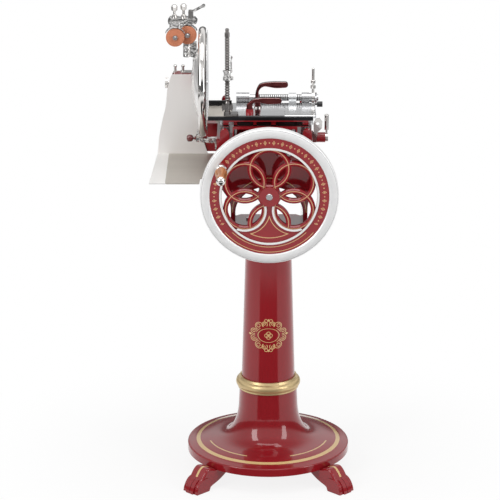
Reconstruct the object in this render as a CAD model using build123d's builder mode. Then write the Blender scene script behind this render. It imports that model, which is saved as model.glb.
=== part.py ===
from build123d import *
import os
from math import cos, radians, sin, sqrt

# Hand crank flywheel meat slicer on a cast pedestal. Millimetres, +Z up, floor at Z = 0.
# The operator stands on the -Y side and looks along +Y at the flywheel; slices fall to -X.
# Every place below is measured from the pedestal's axis; AXIS_X and AXIS_Y put that axis
# where the middle of the whole footprint is the origin.

# ---- driving dimensions -------------------------------------------------------------
FIT = 0.05  # running fit of a shaft in its bore, on the radius
SEAT = 0.3  # gap between moving or curved faces that lie against each other
WALL = 9.0  # cast wall of base, column and frame

# pedestal
BASE_R = 257.0
BASE_BOTTOM = 59.0
BASE_EDGE_TOP = 84.0
BASE_STEP_R = 236.0
NECK_R = 91.0  # base casting where the collar sits
COLLAR_BOTTOM = 268.0
COLLAR_H = 38.0
COLLAR_R = 102.0
COLUMN_TOP_R = 72.0
COLUMN_BOTTOM_R = 85.0
COLUMN_TOP = 784.0
FLANGE_R = 104.0
FLANGE_T = 14.0
FOOT_ANGLES = (-135, -45, 90)  # two claws to the front corners, one straight back
FOOT_TIP_R = BASE_R + 93
FOOT_W = 64.0
FOOT_H = 72.0

# bed and frame
BED_TOP = 800.0
BED_FRONT = -205.0
BED_BACK = 125.0
BED_HALF_W = 122.0
BED_CORNER = 34.0
FRAME_FRONT = -195.0
FRAME_BACK = 115.0
FRAME_LEFT = -158.0
FRAME_RIGHT = 130.0
FRAME_TOP = 1118.0
ARCH_HALF_W = 102.0
ARCH_SPRING = 896.0
ARCH_RISE = 80.0
BOLT_AF = 13.0  # hexagon across flats of the frame bolts
BOLT_D = 8.0

# flywheel
WHEEL_Z = 964.0
WHEEL_FRONT = -262.0
WHEEL_R = 208.0
RIM_IN_R = 180.0
RIM_DEPTH = 30.0
BAND_IN_R = 147.0
BAND_T = 14.0
BEAD_W = 8.0
BEAD_H = 3.0
LOOP_R = 58.0
LOOP_CENTRE_R = 85.0
RIB_W = 15.0
RIB_T = 16.0
RIB_BEVEL = 4.0
WHEEL_HUB_R = 30.0
WHEEL_HUB_DEPTH = 46.0
SHAFT_R = 10.0
CRANK_ANGLE = 150.0
CRANK_R = 166.0
GRIP_LEN = 112.0
GRIP_R = 18.0
CRANK_PIN_R = 6.0

# blade and its guard, in the YZ plane on the left
BLADE_X = -188.0
BLADE_Y = 20.0
BLADE_R = 159.5
BLADE_T = 2.5
BLADE_HUB_R = 30.0
GUARD_R = BLADE_R + 6.5
BLADE_Z = 1086 + GUARD_R  # the guard's lowest point stays clear of the tray
COVER_R = 118.0
COVER_T = 2.0
DOME_LEFT = -238.0

# carriage
ROD_Z = 1140.0
ROD_R = 9.0
ROD_XS = (-134.0, 114.0)
ROD_FRONT = -195.0
ROD_BACK = 262.0
TABLE_TOP = 1187.0
TABLE_T = 8.0
TABLE_LEFT = -112.0
TABLE_RIGHT = 141.0
TABLE_FRONT = -152.0
TABLE_BACK = 14.0

# left side plates
TRAY_Z = 997.0
TRAY_T = 3.0
TRAY_LEFT = -361.0
TRAY_FRONT = -240.0
TRAY_LIP = 42.0
PLATE_Y = 114.0
PLATE_T = 3.0
PLATE_TOP = BLADE_Z + 2

# teeth of the gear train
GEAR_TEETH = 24
PINION_TEETH = 12
GEAR_MODULE = 4.0

# sharpening head
STONE_R = 28.0
STONE_T = 12.0

# ---- where the pedestal's axis stands ------------------------------------------------
FOOT_REACH_X = FOOT_TIP_R * cos(radians(45)) + FOOT_W / 2 * sin(radians(45))
GRIP_END = WHEEL_FRONT - 26.0 - GRIP_LEN
AXIS_X = -(TRAY_LEFT + FOOT_REACH_X) / 2
AXIS_Y = -(GRIP_END + FOOT_TIP_R) / 2


def level(z, x=0.0, y=0.0):
    """Horizontal plane at height z: sketches see X to the right and Y away."""
    return Plane(origin=(AXIS_X + x, AXIS_Y + y, z), x_dir=(1, 0, 0), z_dir=(0, 0, 1))


def front(y, x=0.0, z=0.0):
    """Upright plane that faces the operator: X to the right, Z up, extrudes to -Y."""
    return Plane(origin=(AXIS_X + x, AXIS_Y + y, z), x_dir=(1, 0, 0), z_dir=(0, -1, 0))


def side(x, y=0.0, z=0.0):
    """Upright plane that faces right: Y to the right, Z up, extrudes to +X."""
    return Plane(origin=(AXIS_X + x, AXIS_Y + y, z), x_dir=(0, 1, 0), z_dir=(1, 0, 0))


def keep(part, label):
    """Name a finished piece and write it out."""
    part.label = label
    export_step(part, f"parts/{label}.step")


os.makedirs("parts", exist_ok=True)

# ---- pedestal base: domed disc with a stepped edge, swept up into the column's neck --
NECK_TOP = COLLAR_BOTTOM + COLLAR_H / 2
with BuildPart() as pedestal_base:
    with BuildSketch(Plane(origin=(AXIS_X, AXIS_Y, 0), x_dir=(1, 0, 0), z_dir=(0, -1, 0))):
        with BuildLine():
            edge = Line((BASE_R, BASE_BOTTOM), (BASE_R, BASE_EDGE_TOP - 5))
            bead = ThreePointArc(edge @ 1, (BASE_R - 1.5, BASE_EDGE_TOP - 1), (BASE_R - 5, BASE_EDGE_TOP))
            ledge = Line(bead @ 1, (BASE_STEP_R, BASE_EDGE_TOP + 3))
            dome = Spline(ledge @ 1, (186, 98), (136, 110), (108, 145), (NECK_R + 3, 205),
                          tangents=((-1, 0.28), (-0.08, 1)))
            neck = Line(dome @ 1, (NECK_R - 1, NECK_TOP))
            lip = Line(neck @ 1, (NECK_R - 1 - WALL, NECK_TOP))
            bore = Spline(lip @ 1, (NECK_R + 3 - WALL, 205), (108 - WALL, 141), (136, 101), (186, 89),
                          (BASE_STEP_R - 4, BASE_EDGE_TOP - 6))
            inner = Line(bore @ 1, (BASE_R - WALL, BASE_EDGE_TOP - 10))
            Polyline(inner @ 1, (BASE_R - WALL, BASE_BOTTOM), edge @ 0)
        make_face()
    revolve(axis=Axis((AXIS_X, AXIS_Y, 0), (0, 0, 1)))
    with BuildSketch(Plane(origin=(AXIS_X, AXIS_Y, BASE_BOTTOM))) as foot_pads:
        for angle in FOOT_ANGLES:
            with Locations(Rot(0, 0, angle) * Pos(BASE_R - WALL - 34, 0)):
                RectangleRounded(76, FOOT_W + 8, 10)
    extrude(amount=22)
keep(pedestal_base.part, "pedestal_base")

# ---- claw feet: a leg that curls out from under the edge and ends in four toes -------
TOE_R = FOOT_W / 8
for number, angle in enumerate(FOOT_ANGLES, 1):
    out = Rot(0, 0, angle)
    spine = Plane(origin=(AXIS_X, AXIS_Y, 0), x_dir=(cos(radians(angle)), sin(radians(angle)), 0),
                  z_dir=(sin(radians(angle)), -cos(radians(angle)), 0))
    with BuildPart() as claw_foot:
        with BuildSketch(spine.offset(-FOOT_W / 2 + 3)):
            with BuildLine():
                top = Line((BASE_R - WALL - 64, BASE_BOTTOM), (BASE_R + 1, BASE_BOTTOM))
                knuckle = Spline(top @ 1, (BASE_R + 14, FOOT_H - 4), (BASE_R + 34, FOOT_H),
                                 (BASE_R + 62, FOOT_H * 0.62), (FOOT_TIP_R - 16, 30),
                                 tangents=((0.35, 1), (0.8, -0.6)))
                nose = Spline(knuckle @ 1, (FOOT_TIP_R - 9, 16), (FOOT_TIP_R - 12, 0),
                              tangents=((0.8, -0.6), (-0.3, -1)))
                sole = Line(nose @ 1, (BASE_R + 30, 0))
                Spline(sole @ 1, (BASE_R + 8, 14), (BASE_R - 30, 30), top @ 0,
                       tangents=((-0.4, 1), (-0.8, 0.6)))
            make_face()
        extrude(amount=FOOT_W - 6)
        shanks = claw_foot.edges().filter_by(GeomType.BSPLINE)
        fillet(shanks, 7)
        toes = [(-1.5 + i) * FOOT_W / 4 for i in range(4)]
        for i, toe in enumerate(toes):
            inset = 5 if i in (0, 3) else 0
            arch = Plane(origin=(AXIS_X, AXIS_Y, 0), x_dir=spine.x_dir, z_dir=spine.z_dir).offset(toe)
            with BuildSketch(arch):
                with BuildLine():
                    rise = Spline((BASE_R + 40 - inset, 0), (BASE_R + 48 - inset, 44),
                                  (FOOT_TIP_R - 26 - inset, 41), (FOOT_TIP_R - 6 - inset, 20),
                                  (FOOT_TIP_R - inset, 0))
                    Line(rise @ 1, rise @ 0)
                make_face()
            extrude(amount=TOE_R - 0.8, both=True)
    keep(claw_foot.part, f"claw_foot_{number}")

# ---- upper column: tapered tube, with the flange that carries the bed ----------------
with BuildPart() as pedestal_column:
    with BuildSketch(Plane(origin=(AXIS_X, AXIS_Y, 0), x_dir=(1, 0, 0), z_dir=(0, -1, 0))):
        with BuildLine():
            Polyline((COLUMN_BOTTOM_R, NECK_TOP), (COLUMN_TOP_R, COLUMN_TOP - 60),
                     (COLUMN_TOP_R + 3, COLUMN_TOP - 36), (FLANGE_R, COLUMN_TOP - FLANGE_T),
                     (FLANGE_R, COLUMN_TOP), (COLUMN_TOP_R - WALL, COLUMN_TOP),
                     (COLUMN_BOTTOM_R - WALL, NECK_TOP), close=True)
        make_face()
    revolve(axis=Axis((AXIS_X, AXIS_Y, 0), (0, 0, 1)))
keep(pedestal_column.part, "pedestal_column")

# ---- brass collar over the joint of base and column ----------------------------------
with BuildPart() as collar_ring:
    with BuildSketch(Plane(origin=(AXIS_X, AXIS_Y, 0), x_dir=(1, 0, 0), z_dir=(0, -1, 0))):
        with BuildLine():
            low = Line((NECK_R + 1.5, COLLAR_BOTTOM), (NECK_R + 5, COLLAR_BOTTOM))
            fillets = Line(low @ 1, (NECK_R + 5, COLLAR_BOTTOM + 5))
            belly = ThreePointArc(fillets @ 1, (COLLAR_R, COLLAR_BOTTOM + 5 + (COLLAR_H - 12) / 2),
                                  (NECK_R + 2, COLLAR_BOTTOM + COLLAR_H - 7))
            Polyline(belly @ 1, (NECK_R - 1, COLLAR_BOTTOM + COLLAR_H),
                     (COLUMN_BOTTOM_R + SEAT, COLLAR_BOTTOM + COLLAR_H),
                     (COLUMN_BOTTOM_R + SEAT, NECK_TOP + SEAT), (NECK_R + 1.5, NECK_TOP + SEAT), low @ 0)
        make_face()
    revolve(axis=Axis((AXIS_X, AXIS_Y, 0), (0, 0, 1)))
keep(collar_ring.part, "collar_ring")

# ---- bed plate: the slicer's foot, bolted to the column's flange ---------------------
BED_T = BED_TOP - COLUMN_TOP
FLANGE_BOLT_R = (COLUMN_TOP_R + FLANGE_R) / 2
with BuildPart() as bed_plate:
    with BuildSketch(level(COLUMN_TOP)):
        with BuildLine():
            Polyline((-BED_HALF_W, BED_FRONT + BED_CORNER), (-BED_HALF_W + BED_CORNER, BED_FRONT),
                     (BED_HALF_W - BED_CORNER, BED_FRONT), (BED_HALF_W, BED_FRONT + BED_CORNER),
                     (BED_HALF_W, BED_BACK - BED_CORNER), (BED_HALF_W - BED_CORNER, BED_BACK),
                     (-BED_HALF_W + BED_CORNER, BED_BACK), (-BED_HALF_W, BED_BACK - BED_CORNER),
                     close=True)
        make_face()
    extrude(amount=BED_T)
    fillet(bed_plate.faces().sort_by(Axis.Z)[-1].edges(), 4)
    with Locations(level(BED_TOP)):
        with PolarLocations(FLANGE_BOLT_R, 4, start_angle=45):
            Hole(BOLT_D / 2 + FIT, BED_T)
keep(bed_plate.part, "bed_plate")

with BuildPart() as bed_bolts:
    with BuildSketch(level(BED_TOP)):
        with PolarLocations(FLANGE_BOLT_R, 4, start_angle=45):
            RegularPolygon(BOLT_AF / 2, 6, major_radius=False)
    extrude(amount=6)
    with BuildSketch(level(COLUMN_TOP)):
        with PolarLocations(FLANGE_BOLT_R, 4, start_angle=45):
            Circle(BOLT_D / 2)
    extrude(amount=BED_T)
keep(bed_bolts.part, "bed_bolts")

# ---- machine frame: one casting like a bridge, with an arched tunnel through it ------
FRAME_FOOT_W = BED_HALF_W - 6
LUG_R = ROD_R + 5
LUG_T = 20.0
HOUSING_R = 44.0
WELL_FLOOR = WHEEL_Z + HOUSING_R + 6
LAY_ANGLE = 125.0
CENTRES = GEAR_MODULE * (GEAR_TEETH + PINION_TEETH) / 2
LAY_X = CENTRES * cos(radians(LAY_ANGLE))
LAY_Z = WHEEL_Z + CENTRES * sin(radians(LAY_ANGLE))
BEARING_OUT = 14.0
LEDGE_Z = 1161.0
RAIL_LEFT = -110.0
RAIL_RIGHT = 84.0
RAIL_T = 8.0
with BuildPart() as machine_frame:
    with BuildSketch(front(FRAME_BACK)):
        with BuildLine():
            foot = Line((-FRAME_FOOT_W, BED_TOP), (FRAME_FOOT_W, BED_TOP))
            cheek = Line(foot @ 1, (FRAME_FOOT_W, 905))
            swell = Spline(cheek @ 1, (FRAME_RIGHT, 985), tangents=((0, 1), (0, 1)))
            Polyline(swell @ 1, (FRAME_RIGHT, FRAME_TOP), (FRAME_LEFT, FRAME_TOP), (FRAME_LEFT, 1015))
            Spline((FRAME_LEFT, 1015), (-FRAME_FOOT_W, 905), tangents=((0, -1), (0, -1)))
            Line((-FRAME_FOOT_W, 905), foot @ 0)
        make_face()
        with BuildLine():
            floor_line = Line((-ARCH_HALF_W, BED_TOP), (ARCH_HALF_W, BED_TOP))
            Line(floor_line @ 1, (ARCH_HALF_W, ARCH_SPRING))
            crown = EllipticalCenterArc((0, ARCH_SPRING), ARCH_HALF_W, ARCH_RISE, start_angle=0,
                                        arc_size=180)
            Line(crown @ 1, floor_line @ 0)
        make_face(mode=Mode.SUBTRACT)
    extrude(amount=FRAME_BACK - FRAME_FRONT)
    fillet(machine_frame.faces().filter_by(Axis.Y).edges().filter_by(GeomType.ELLIPSE), 5)
    # housing of the main shaft, hung from the crown of the arch
    with BuildSketch(front(FRAME_BACK + BEARING_OUT)):
        with Locations((0, WHEEL_Z)):
            Circle(WHEEL_HUB_R + 2)
    extrude(amount=FRAME_BACK - FRAME_FRONT + 2 * BEARING_OUT)
    # pocket between the guide rods, open at the top, and lightening windows at the left
    with BuildSketch(level(WELL_FLOOR)):
        with Locations((-14, (FRAME_FRONT + FRAME_BACK) / 2)):
            RectangleRounded(FRAME_RIGHT - FRAME_LEFT - 120, FRAME_BACK - FRAME_FRONT - 2 * LUG_T - 16, 12)
    extrude(amount=FRAME_TOP - WELL_FLOOR, mode=Mode.SUBTRACT)
    with BuildSketch(front(FRAME_FRONT)):
        with Locations((-127, 1085)):
            SlotOverall(40, 15, rotation=90)
        with Locations((58, 1085)):
            SlotOverall(80, 26)
    extrude(amount=-LUG_T - 10, mode=Mode.SUBTRACT)
    # lugs that hold the front ends of the guide rods
    for x in ROD_XS:
        with BuildSketch(front(FRAME_FRONT + LUG_T)):
            with Locations((x, ROD_Z)):
                Circle(LUG_R)
            with Locations((x, (FRAME_TOP + ROD_Z) / 2 - 4)):
                Rectangle(2 * LUG_R, ROD_Z - FRAME_TOP + 8)
        extrude(amount=LUG_T)
        with BuildSketch(front(FRAME_FRONT + LUG_T)):
            with Locations((x, ROD_Z)):
                Circle(ROD_R + FIT)
        extrude(amount=LUG_T - 4, mode=Mode.SUBTRACT)
    # rail across the front with a long opening under its ledge
    with BuildSketch(front(FRAME_FRONT + RAIL_T)):
        with Locations(((RAIL_LEFT + RAIL_RIGHT) / 2, FRAME_TOP - 1)):
            Rectangle(RAIL_RIGHT - RAIL_LEFT, LEDGE_Z - FRAME_TOP + 1, align=(Align.CENTER, Align.MIN))
        with Locations(((RAIL_LEFT + RAIL_RIGHT) / 2, FRAME_TOP + 4)):
            Rectangle(RAIL_RIGHT - RAIL_LEFT - 14, LEDGE_Z - FRAME_TOP - 10,
                      align=(Align.CENTER, Align.MIN), mode=Mode.SUBTRACT)
    extrude(amount=RAIL_T)
    # boss of the lay shaft on the back wall
    with BuildSketch(front(FRAME_BACK + BEARING_OUT - 4)):
        with Locations((LAY_X, LAY_Z)):
            Circle(19)
    extrude(amount=BEARING_OUT)
    with BuildSketch(front(FRAME_BACK + BEARING_OUT)):
        with Locations((0, WHEEL_Z)):
            Circle(SHAFT_R + 5)
    extrude(amount=FRAME_BACK - FRAME_FRONT + 2 * BEARING_OUT, mode=Mode.SUBTRACT)
    with BuildSketch(front(FRAME_BACK + BEARING_OUT)):
        with Locations((LAY_X, LAY_Z)):
            Circle(SHAFT_R - 2 + FIT)
    extrude(amount=LUG_T + BEARING_OUT, mode=Mode.SUBTRACT)
keep(machine_frame.part, "machine_frame")

# ---- bronze bushes of the main shaft, one at each end of the frame --------------------
BUSH_L = 40.0
with BuildPart() as shaft_bushes:
    for y in (FRAME_BACK + BEARING_OUT, FRAME_FRONT - BEARING_OUT + BUSH_L):
        with BuildSketch(front(y)):
            with Locations((0, WHEEL_Z)):
                Circle(SHAFT_R + 5)
                Circle(SHAFT_R + FIT, mode=Mode.SUBTRACT)
        extrude(amount=BUSH_L)
keep(shaft_bushes.part, "shaft_bushes")

# ---- flywheel: polished rim, red band, rosette of round loops and a filled lower field
LOOP_ANGLES = [30 + i * 60 for i in range(6)]
RIB_FRONT = WHEEL_FRONT + 4
BAND_FRONT = WHEEL_FRONT + 3
OPEN_R = BAND_IN_R - 4
HUB_FRONT = WHEEL_FRONT - 4
HUB_BACK = HUB_FRONT + WHEEL_HUB_DEPTH
PIN_X = CRANK_R * cos(radians(CRANK_ANGLE))
PIN_Z = WHEEL_Z + CRANK_R * sin(radians(CRANK_ANGLE))
STRIP = Circle(LOOP_R + RIB_W / 2 + 1) - Circle(LOOP_R + RIB_W / 2 + 1 - BEAD_W)
WEDGE = [(0, 0)] + [(WHEEL_R * cos(radians(a)), WHEEL_R * sin(radians(a))) for a in (226, 314)]


def loop_centre(angle):
    return Location((LOOP_CENTRE_R * cos(radians(angle)), LOOP_CENTRE_R * sin(radians(angle))))


with BuildPart() as flywheel:
    # six round loops of one bevelled section, whose overlaps draw the petals
    for angle in LOOP_ANGLES:
        loop_x = LOOP_CENTRE_R * cos(radians(angle))
        loop_z = WHEEL_Z + LOOP_CENTRE_R * sin(radians(angle))
        with BuildSketch(side(loop_x, z=loop_z)):
            with BuildLine():
                Polyline((RIB_FRONT + RIB_T, LOOP_R - RIB_W / 2), (RIB_FRONT + RIB_T, LOOP_R + RIB_W / 2),
                         (RIB_FRONT + RIB_BEVEL, LOOP_R + RIB_W / 2),
                         (RIB_FRONT, LOOP_R + RIB_W / 2 - RIB_BEVEL),
                         (RIB_FRONT, LOOP_R - RIB_W / 2 + RIB_BEVEL),
                         (RIB_FRONT + RIB_BEVEL, LOOP_R - RIB_W / 2), close=True)
            make_face()
        revolve(axis=Axis((AXIS_X + loop_x, AXIS_Y, loop_z), (0, 1, 0)))
    # field between the two lowest petals, and the light strips that border it
    with BuildSketch(front(RIB_FRONT + RIB_T - 2, z=WHEEL_Z)):
        Circle(OPEN_R + 2)
        with BuildLine():
            Polyline(*WEDGE, close=True)
        make_face(mode=Mode.INTERSECT)
        for angle in (210, 330):
            with Locations(loop_centre(angle)):
                Circle(LOOP_R, mode=Mode.SUBTRACT)
    extrude(amount=RIB_T - 2)
    with BuildSketch(front(BAND_FRONT + 2, z=WHEEL_Z)):
        for angle in (210, 330):
            with Locations(loop_centre(angle)):
                add(STRIP)
        Circle(BAND_IN_R, mode=Mode.INTERSECT)
        with BuildLine():
            Polyline(*WEDGE, close=True)
        make_face(mode=Mode.INTERSECT)
    extrude(amount=2 + BEAD_H)
    # rim, band and the raised bead inside it, turned about the wheel's axis
    with BuildSketch(side(0, z=WHEEL_Z)):
        with BuildLine():
            face = Line((WHEEL_FRONT + 2, RIM_IN_R), (WHEEL_FRONT, RIM_IN_R + 3))
            crown = ThreePointArc(face @ 1, (WHEEL_FRONT - 1.5, (RIM_IN_R + WHEEL_R) / 2),
                                  (WHEEL_FRONT + 1.5, WHEEL_R - 2))
            Polyline(crown @ 1, (WHEEL_FRONT + 3.5, WHEEL_R), (WHEEL_FRONT + RIM_DEPTH - 2, WHEEL_R),
                     (WHEEL_FRONT + RIM_DEPTH, WHEEL_R - 2), (WHEEL_FRONT + RIM_DEPTH, RIM_IN_R + 4),
                     (BAND_FRONT + BAND_T, RIM_IN_R - 2), (BAND_FRONT + BAND_T, OPEN_R + 1),
                     (BAND_FRONT + 5, OPEN_R), (BAND_FRONT, OPEN_R),
                     (BAND_FRONT - BEAD_H, OPEN_R + 1), (BAND_FRONT - BEAD_H, OPEN_R + BEAD_W - 1),
                     (BAND_FRONT, OPEN_R + BEAD_W), (BAND_FRONT, RIM_IN_R), face @ 0)
        make_face()
    revolve(axis=Axis((AXIS_X, AXIS_Y, WHEEL_Z), (0, 1, 0)))
    # hub, its bore, and the boss that the crank pin screws into
    with BuildSketch(front(HUB_BACK, z=WHEEL_Z)):
        Circle(WHEEL_HUB_R)
    extrude(amount=WHEEL_HUB_DEPTH)
    with BuildSketch(front(BAND_FRONT + BAND_T, x=PIN_X, z=PIN_Z)):
        Circle(GRIP_R - 2)
    extrude(amount=BAND_T + 6)
    with BuildSketch(front(HUB_BACK, z=WHEEL_Z)):
        Circle(SHAFT_R)
        with Locations((PIN_X, PIN_Z - WHEEL_Z)):
            Circle(CRANK_PIN_R)
    extrude(amount=WHEEL_HUB_DEPTH + 20, mode=Mode.SUBTRACT)
keep(flywheel.part, "flywheel")

# ---- main shaft, keyed through the wheel hub, and its drive gear ----------------------
GEAR_FRONT = FRAME_BACK + BEARING_OUT + 2
GEAR_W = 16.0
with BuildPart() as main_shaft:
    with BuildSketch(front(GEAR_FRONT + GEAR_W + 8, z=WHEEL_Z)):
        Circle(SHAFT_R)
    extrude(amount=GEAR_FRONT + GEAR_W + 8 - HUB_FRONT + 2)
    chamfer(main_shaft.faces().filter_by(Axis.Y).edges(), 1.5)
    with BuildSketch(front(FRAME_FRONT - BEARING_OUT - SEAT, z=WHEEL_Z)):
        Circle(SHAFT_R + 6)
    extrude(amount=FRAME_FRONT - BEARING_OUT - SEAT - HUB_BACK)
keep(main_shaft.part, "main_shaft")


def gear_profile(teeth, turn):
    """Straight-flanked gear outline on the current sketch, with backlash in every gap."""
    pitch_r = GEAR_MODULE * teeth / 2
    root_r = pitch_r - 1.2 * GEAR_MODULE
    tip_r = pitch_r + 0.9 * GEAR_MODULE
    step = 360 / teeth
    Circle(root_r)
    with BuildLine(mode=Mode.PRIVATE) as tooth:
        corners = [(root_r - 1, 0.30), (pitch_r, 0.21), (tip_r, 0.10), (tip_r, -0.10), (pitch_r, -0.21),
                   (root_r - 1, -0.30)]
        Polyline(*[(r * cos(radians(f * step)), r * sin(radians(f * step))) for r, f in corners],
                 close=True)
    tooth_face = make_face(tooth.edges(), mode=Mode.PRIVATE)
    with PolarLocations(0, teeth, start_angle=turn):
        add(tooth_face)


with BuildPart() as drive_gear:
    with BuildSketch(front(GEAR_FRONT + GEAR_W, z=WHEEL_Z)):
        gear_profile(GEAR_TEETH, LAY_ANGLE)
        with PolarLocations(GEAR_MODULE * GEAR_TEETH * 0.29, 5):
            Circle(8, mode=Mode.SUBTRACT)
        Circle(SHAFT_R, mode=Mode.SUBTRACT)
    extrude(amount=GEAR_W)
keep(drive_gear.part, "drive_gear")

with BuildPart() as lay_shaft:
    with BuildSketch(front(GEAR_FRONT + GEAR_W, x=LAY_X, z=LAY_Z)):
        gear_profile(PINION_TEETH, LAY_ANGLE + 180 + 180 / PINION_TEETH)
    extrude(amount=GEAR_W)
    with BuildSketch(front(GEAR_FRONT + GEAR_W + 26, x=LAY_X, z=LAY_Z)):
        Circle(SHAFT_R - 2)
    extrude(amount=GEAR_W + 26 + BEARING_OUT + 10)
keep(lay_shaft.part, "lay_shaft")

# ---- crank: steel pin with a collar, turned wooden grip, domed end cap ---------------
PIN_FRONT = WHEEL_FRONT - 3
GRIP_BACK = PIN_FRONT - 10
GRIP_FRONT = GRIP_BACK - GRIP_LEN
with BuildPart() as crank_pin:
    with BuildSketch(side(PIN_X, z=PIN_Z)):
        with BuildLine():
            Polyline((BAND_FRONT + BAND_T, 0), (BAND_FRONT + BAND_T, CRANK_PIN_R), (PIN_FRONT, CRANK_PIN_R),
                     (PIN_FRONT, GRIP_R - 2), (PIN_FRONT - 3, GRIP_R), (GRIP_BACK + 2, GRIP_R - 3),
                     (GRIP_BACK + SEAT, GRIP_R - 6), (GRIP_BACK + SEAT, CRANK_PIN_R),
                     (GRIP_FRONT - 6, CRANK_PIN_R), (GRIP_FRONT - 6, 0), close=True)
        make_face()
    revolve(axis=Axis((AXIS_X + PIN_X, AXIS_Y, PIN_Z), (0, 1, 0)))
keep(crank_pin.part, "crank_pin")

with BuildPart() as crank_grip:
    with BuildSketch(side(PIN_X, z=PIN_Z)):
        with BuildLine():
            butt = Line((GRIP_BACK, CRANK_PIN_R + FIT), (GRIP_BACK, GRIP_R - 7))
            body = Spline(butt @ 1, (GRIP_BACK - 10, GRIP_R - 2), (GRIP_BACK - 34, GRIP_R),
                          (GRIP_BACK - 74, GRIP_R - 5.5), (GRIP_FRONT + 16, GRIP_R - 4),
                          (GRIP_FRONT, GRIP_R - 6))
            Polyline(body @ 1, (GRIP_FRONT, CRANK_PIN_R + FIT), butt @ 0)
        make_face()
    revolve(axis=Axis((AXIS_X + PIN_X, AXIS_Y, PIN_Z), (0, 1, 0)))
keep(crank_grip.part, "crank_grip")

with BuildPart() as grip_cap:
    with BuildSketch(side(PIN_X, z=PIN_Z)):
        with BuildLine():
            rear = Line((GRIP_FRONT - SEAT, CRANK_PIN_R), (GRIP_FRONT - SEAT, GRIP_R - 5))
            rim = Line(rear @ 1, (GRIP_FRONT - 4, GRIP_R - 4.5))
            dome = Spline(rim @ 1, (GRIP_FRONT - 11, 0), tangents=((-0.5, -0.5), (0, -1)))
            Polyline(dome @ 1, (GRIP_FRONT - 6, 0), (GRIP_FRONT - 6, CRANK_PIN_R), rear @ 0)
        make_face()
    revolve(axis=Axis((AXIS_X + PIN_X, AXIS_Y, PIN_Z), (0, 1, 0)))
keep(grip_cap.part, "grip_cap")

# ---- blade: dished steel disc with a bevelled edge, on a shaft along X -----------------
ARM_RIGHT = -212.0
ARM_W = 21.0
ARM_LEFT = ARM_RIGHT - ARM_W
BLADE_LEFT = BLADE_X - BLADE_T
HUB_W = 12.0
BLADE_AXIS = Axis((AXIS_X, AXIS_Y + BLADE_Y, BLADE_Z), (1, 0, 0))


def blade_profile():
    """Plane through the blade's axis: X to the right, radius upward."""
    return front(BLADE_Y, z=BLADE_Z)


with BuildPart() as blade:
    with BuildSketch(blade_profile()):
        with BuildLine():
            Polyline((BLADE_X - 6, SHAFT_R), (BLADE_X - 6, 62), (BLADE_X, 118), (BLADE_X, BLADE_R - 6),
                     (BLADE_X, BLADE_R), (BLADE_X - 0.4, BLADE_R), (BLADE_LEFT, BLADE_R - 9),
                     (BLADE_LEFT, 118), (BLADE_X - 6 - BLADE_T, 62), (BLADE_X - 6 - BLADE_T, SHAFT_R),
                     close=True)
        make_face()
    revolve(axis=BLADE_AXIS)
    with BuildSketch(side(BLADE_X, y=BLADE_Y, z=BLADE_Z)):
        with PolarLocations(21, 4, start_angle=45):
            Circle(3)
    extrude(amount=-20, mode=Mode.SUBTRACT)
keep(blade.part, "blade")

with BuildPart() as blade_shaft:
    with BuildSketch(blade_profile()):
        with BuildLine():
            hub_face = BLADE_X - 6 - BLADE_T
            Polyline((BLADE_X, 0), (BLADE_X, SHAFT_R - 3), (BLADE_X - 6, SHAFT_R), (hub_face, SHAFT_R),
                     (hub_face, BLADE_HUB_R), (hub_face - HUB_W, BLADE_HUB_R - 2),
                     (hub_face - HUB_W, SHAFT_R), (ARM_LEFT + 4, SHAFT_R), (ARM_LEFT + 4, 0), close=True)
        make_face()
    revolve(axis=BLADE_AXIS)
keep(blade_shaft.part, "blade_shaft")

with BuildPart() as blade_screws:
    with BuildSketch(side(BLADE_X - 6, y=BLADE_Y, z=BLADE_Z)):
        with PolarLocations(21, 4, start_angle=45):
            Circle(5)
    extrude(amount=3)
    with BuildSketch(side(BLADE_X - 6, y=BLADE_Y, z=BLADE_Z)):
        with PolarLocations(21, 4, start_angle=45):
            Circle(3 - FIT)
    extrude(amount=-BLADE_T)
keep(blade_screws.part, "blade_screws")

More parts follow.
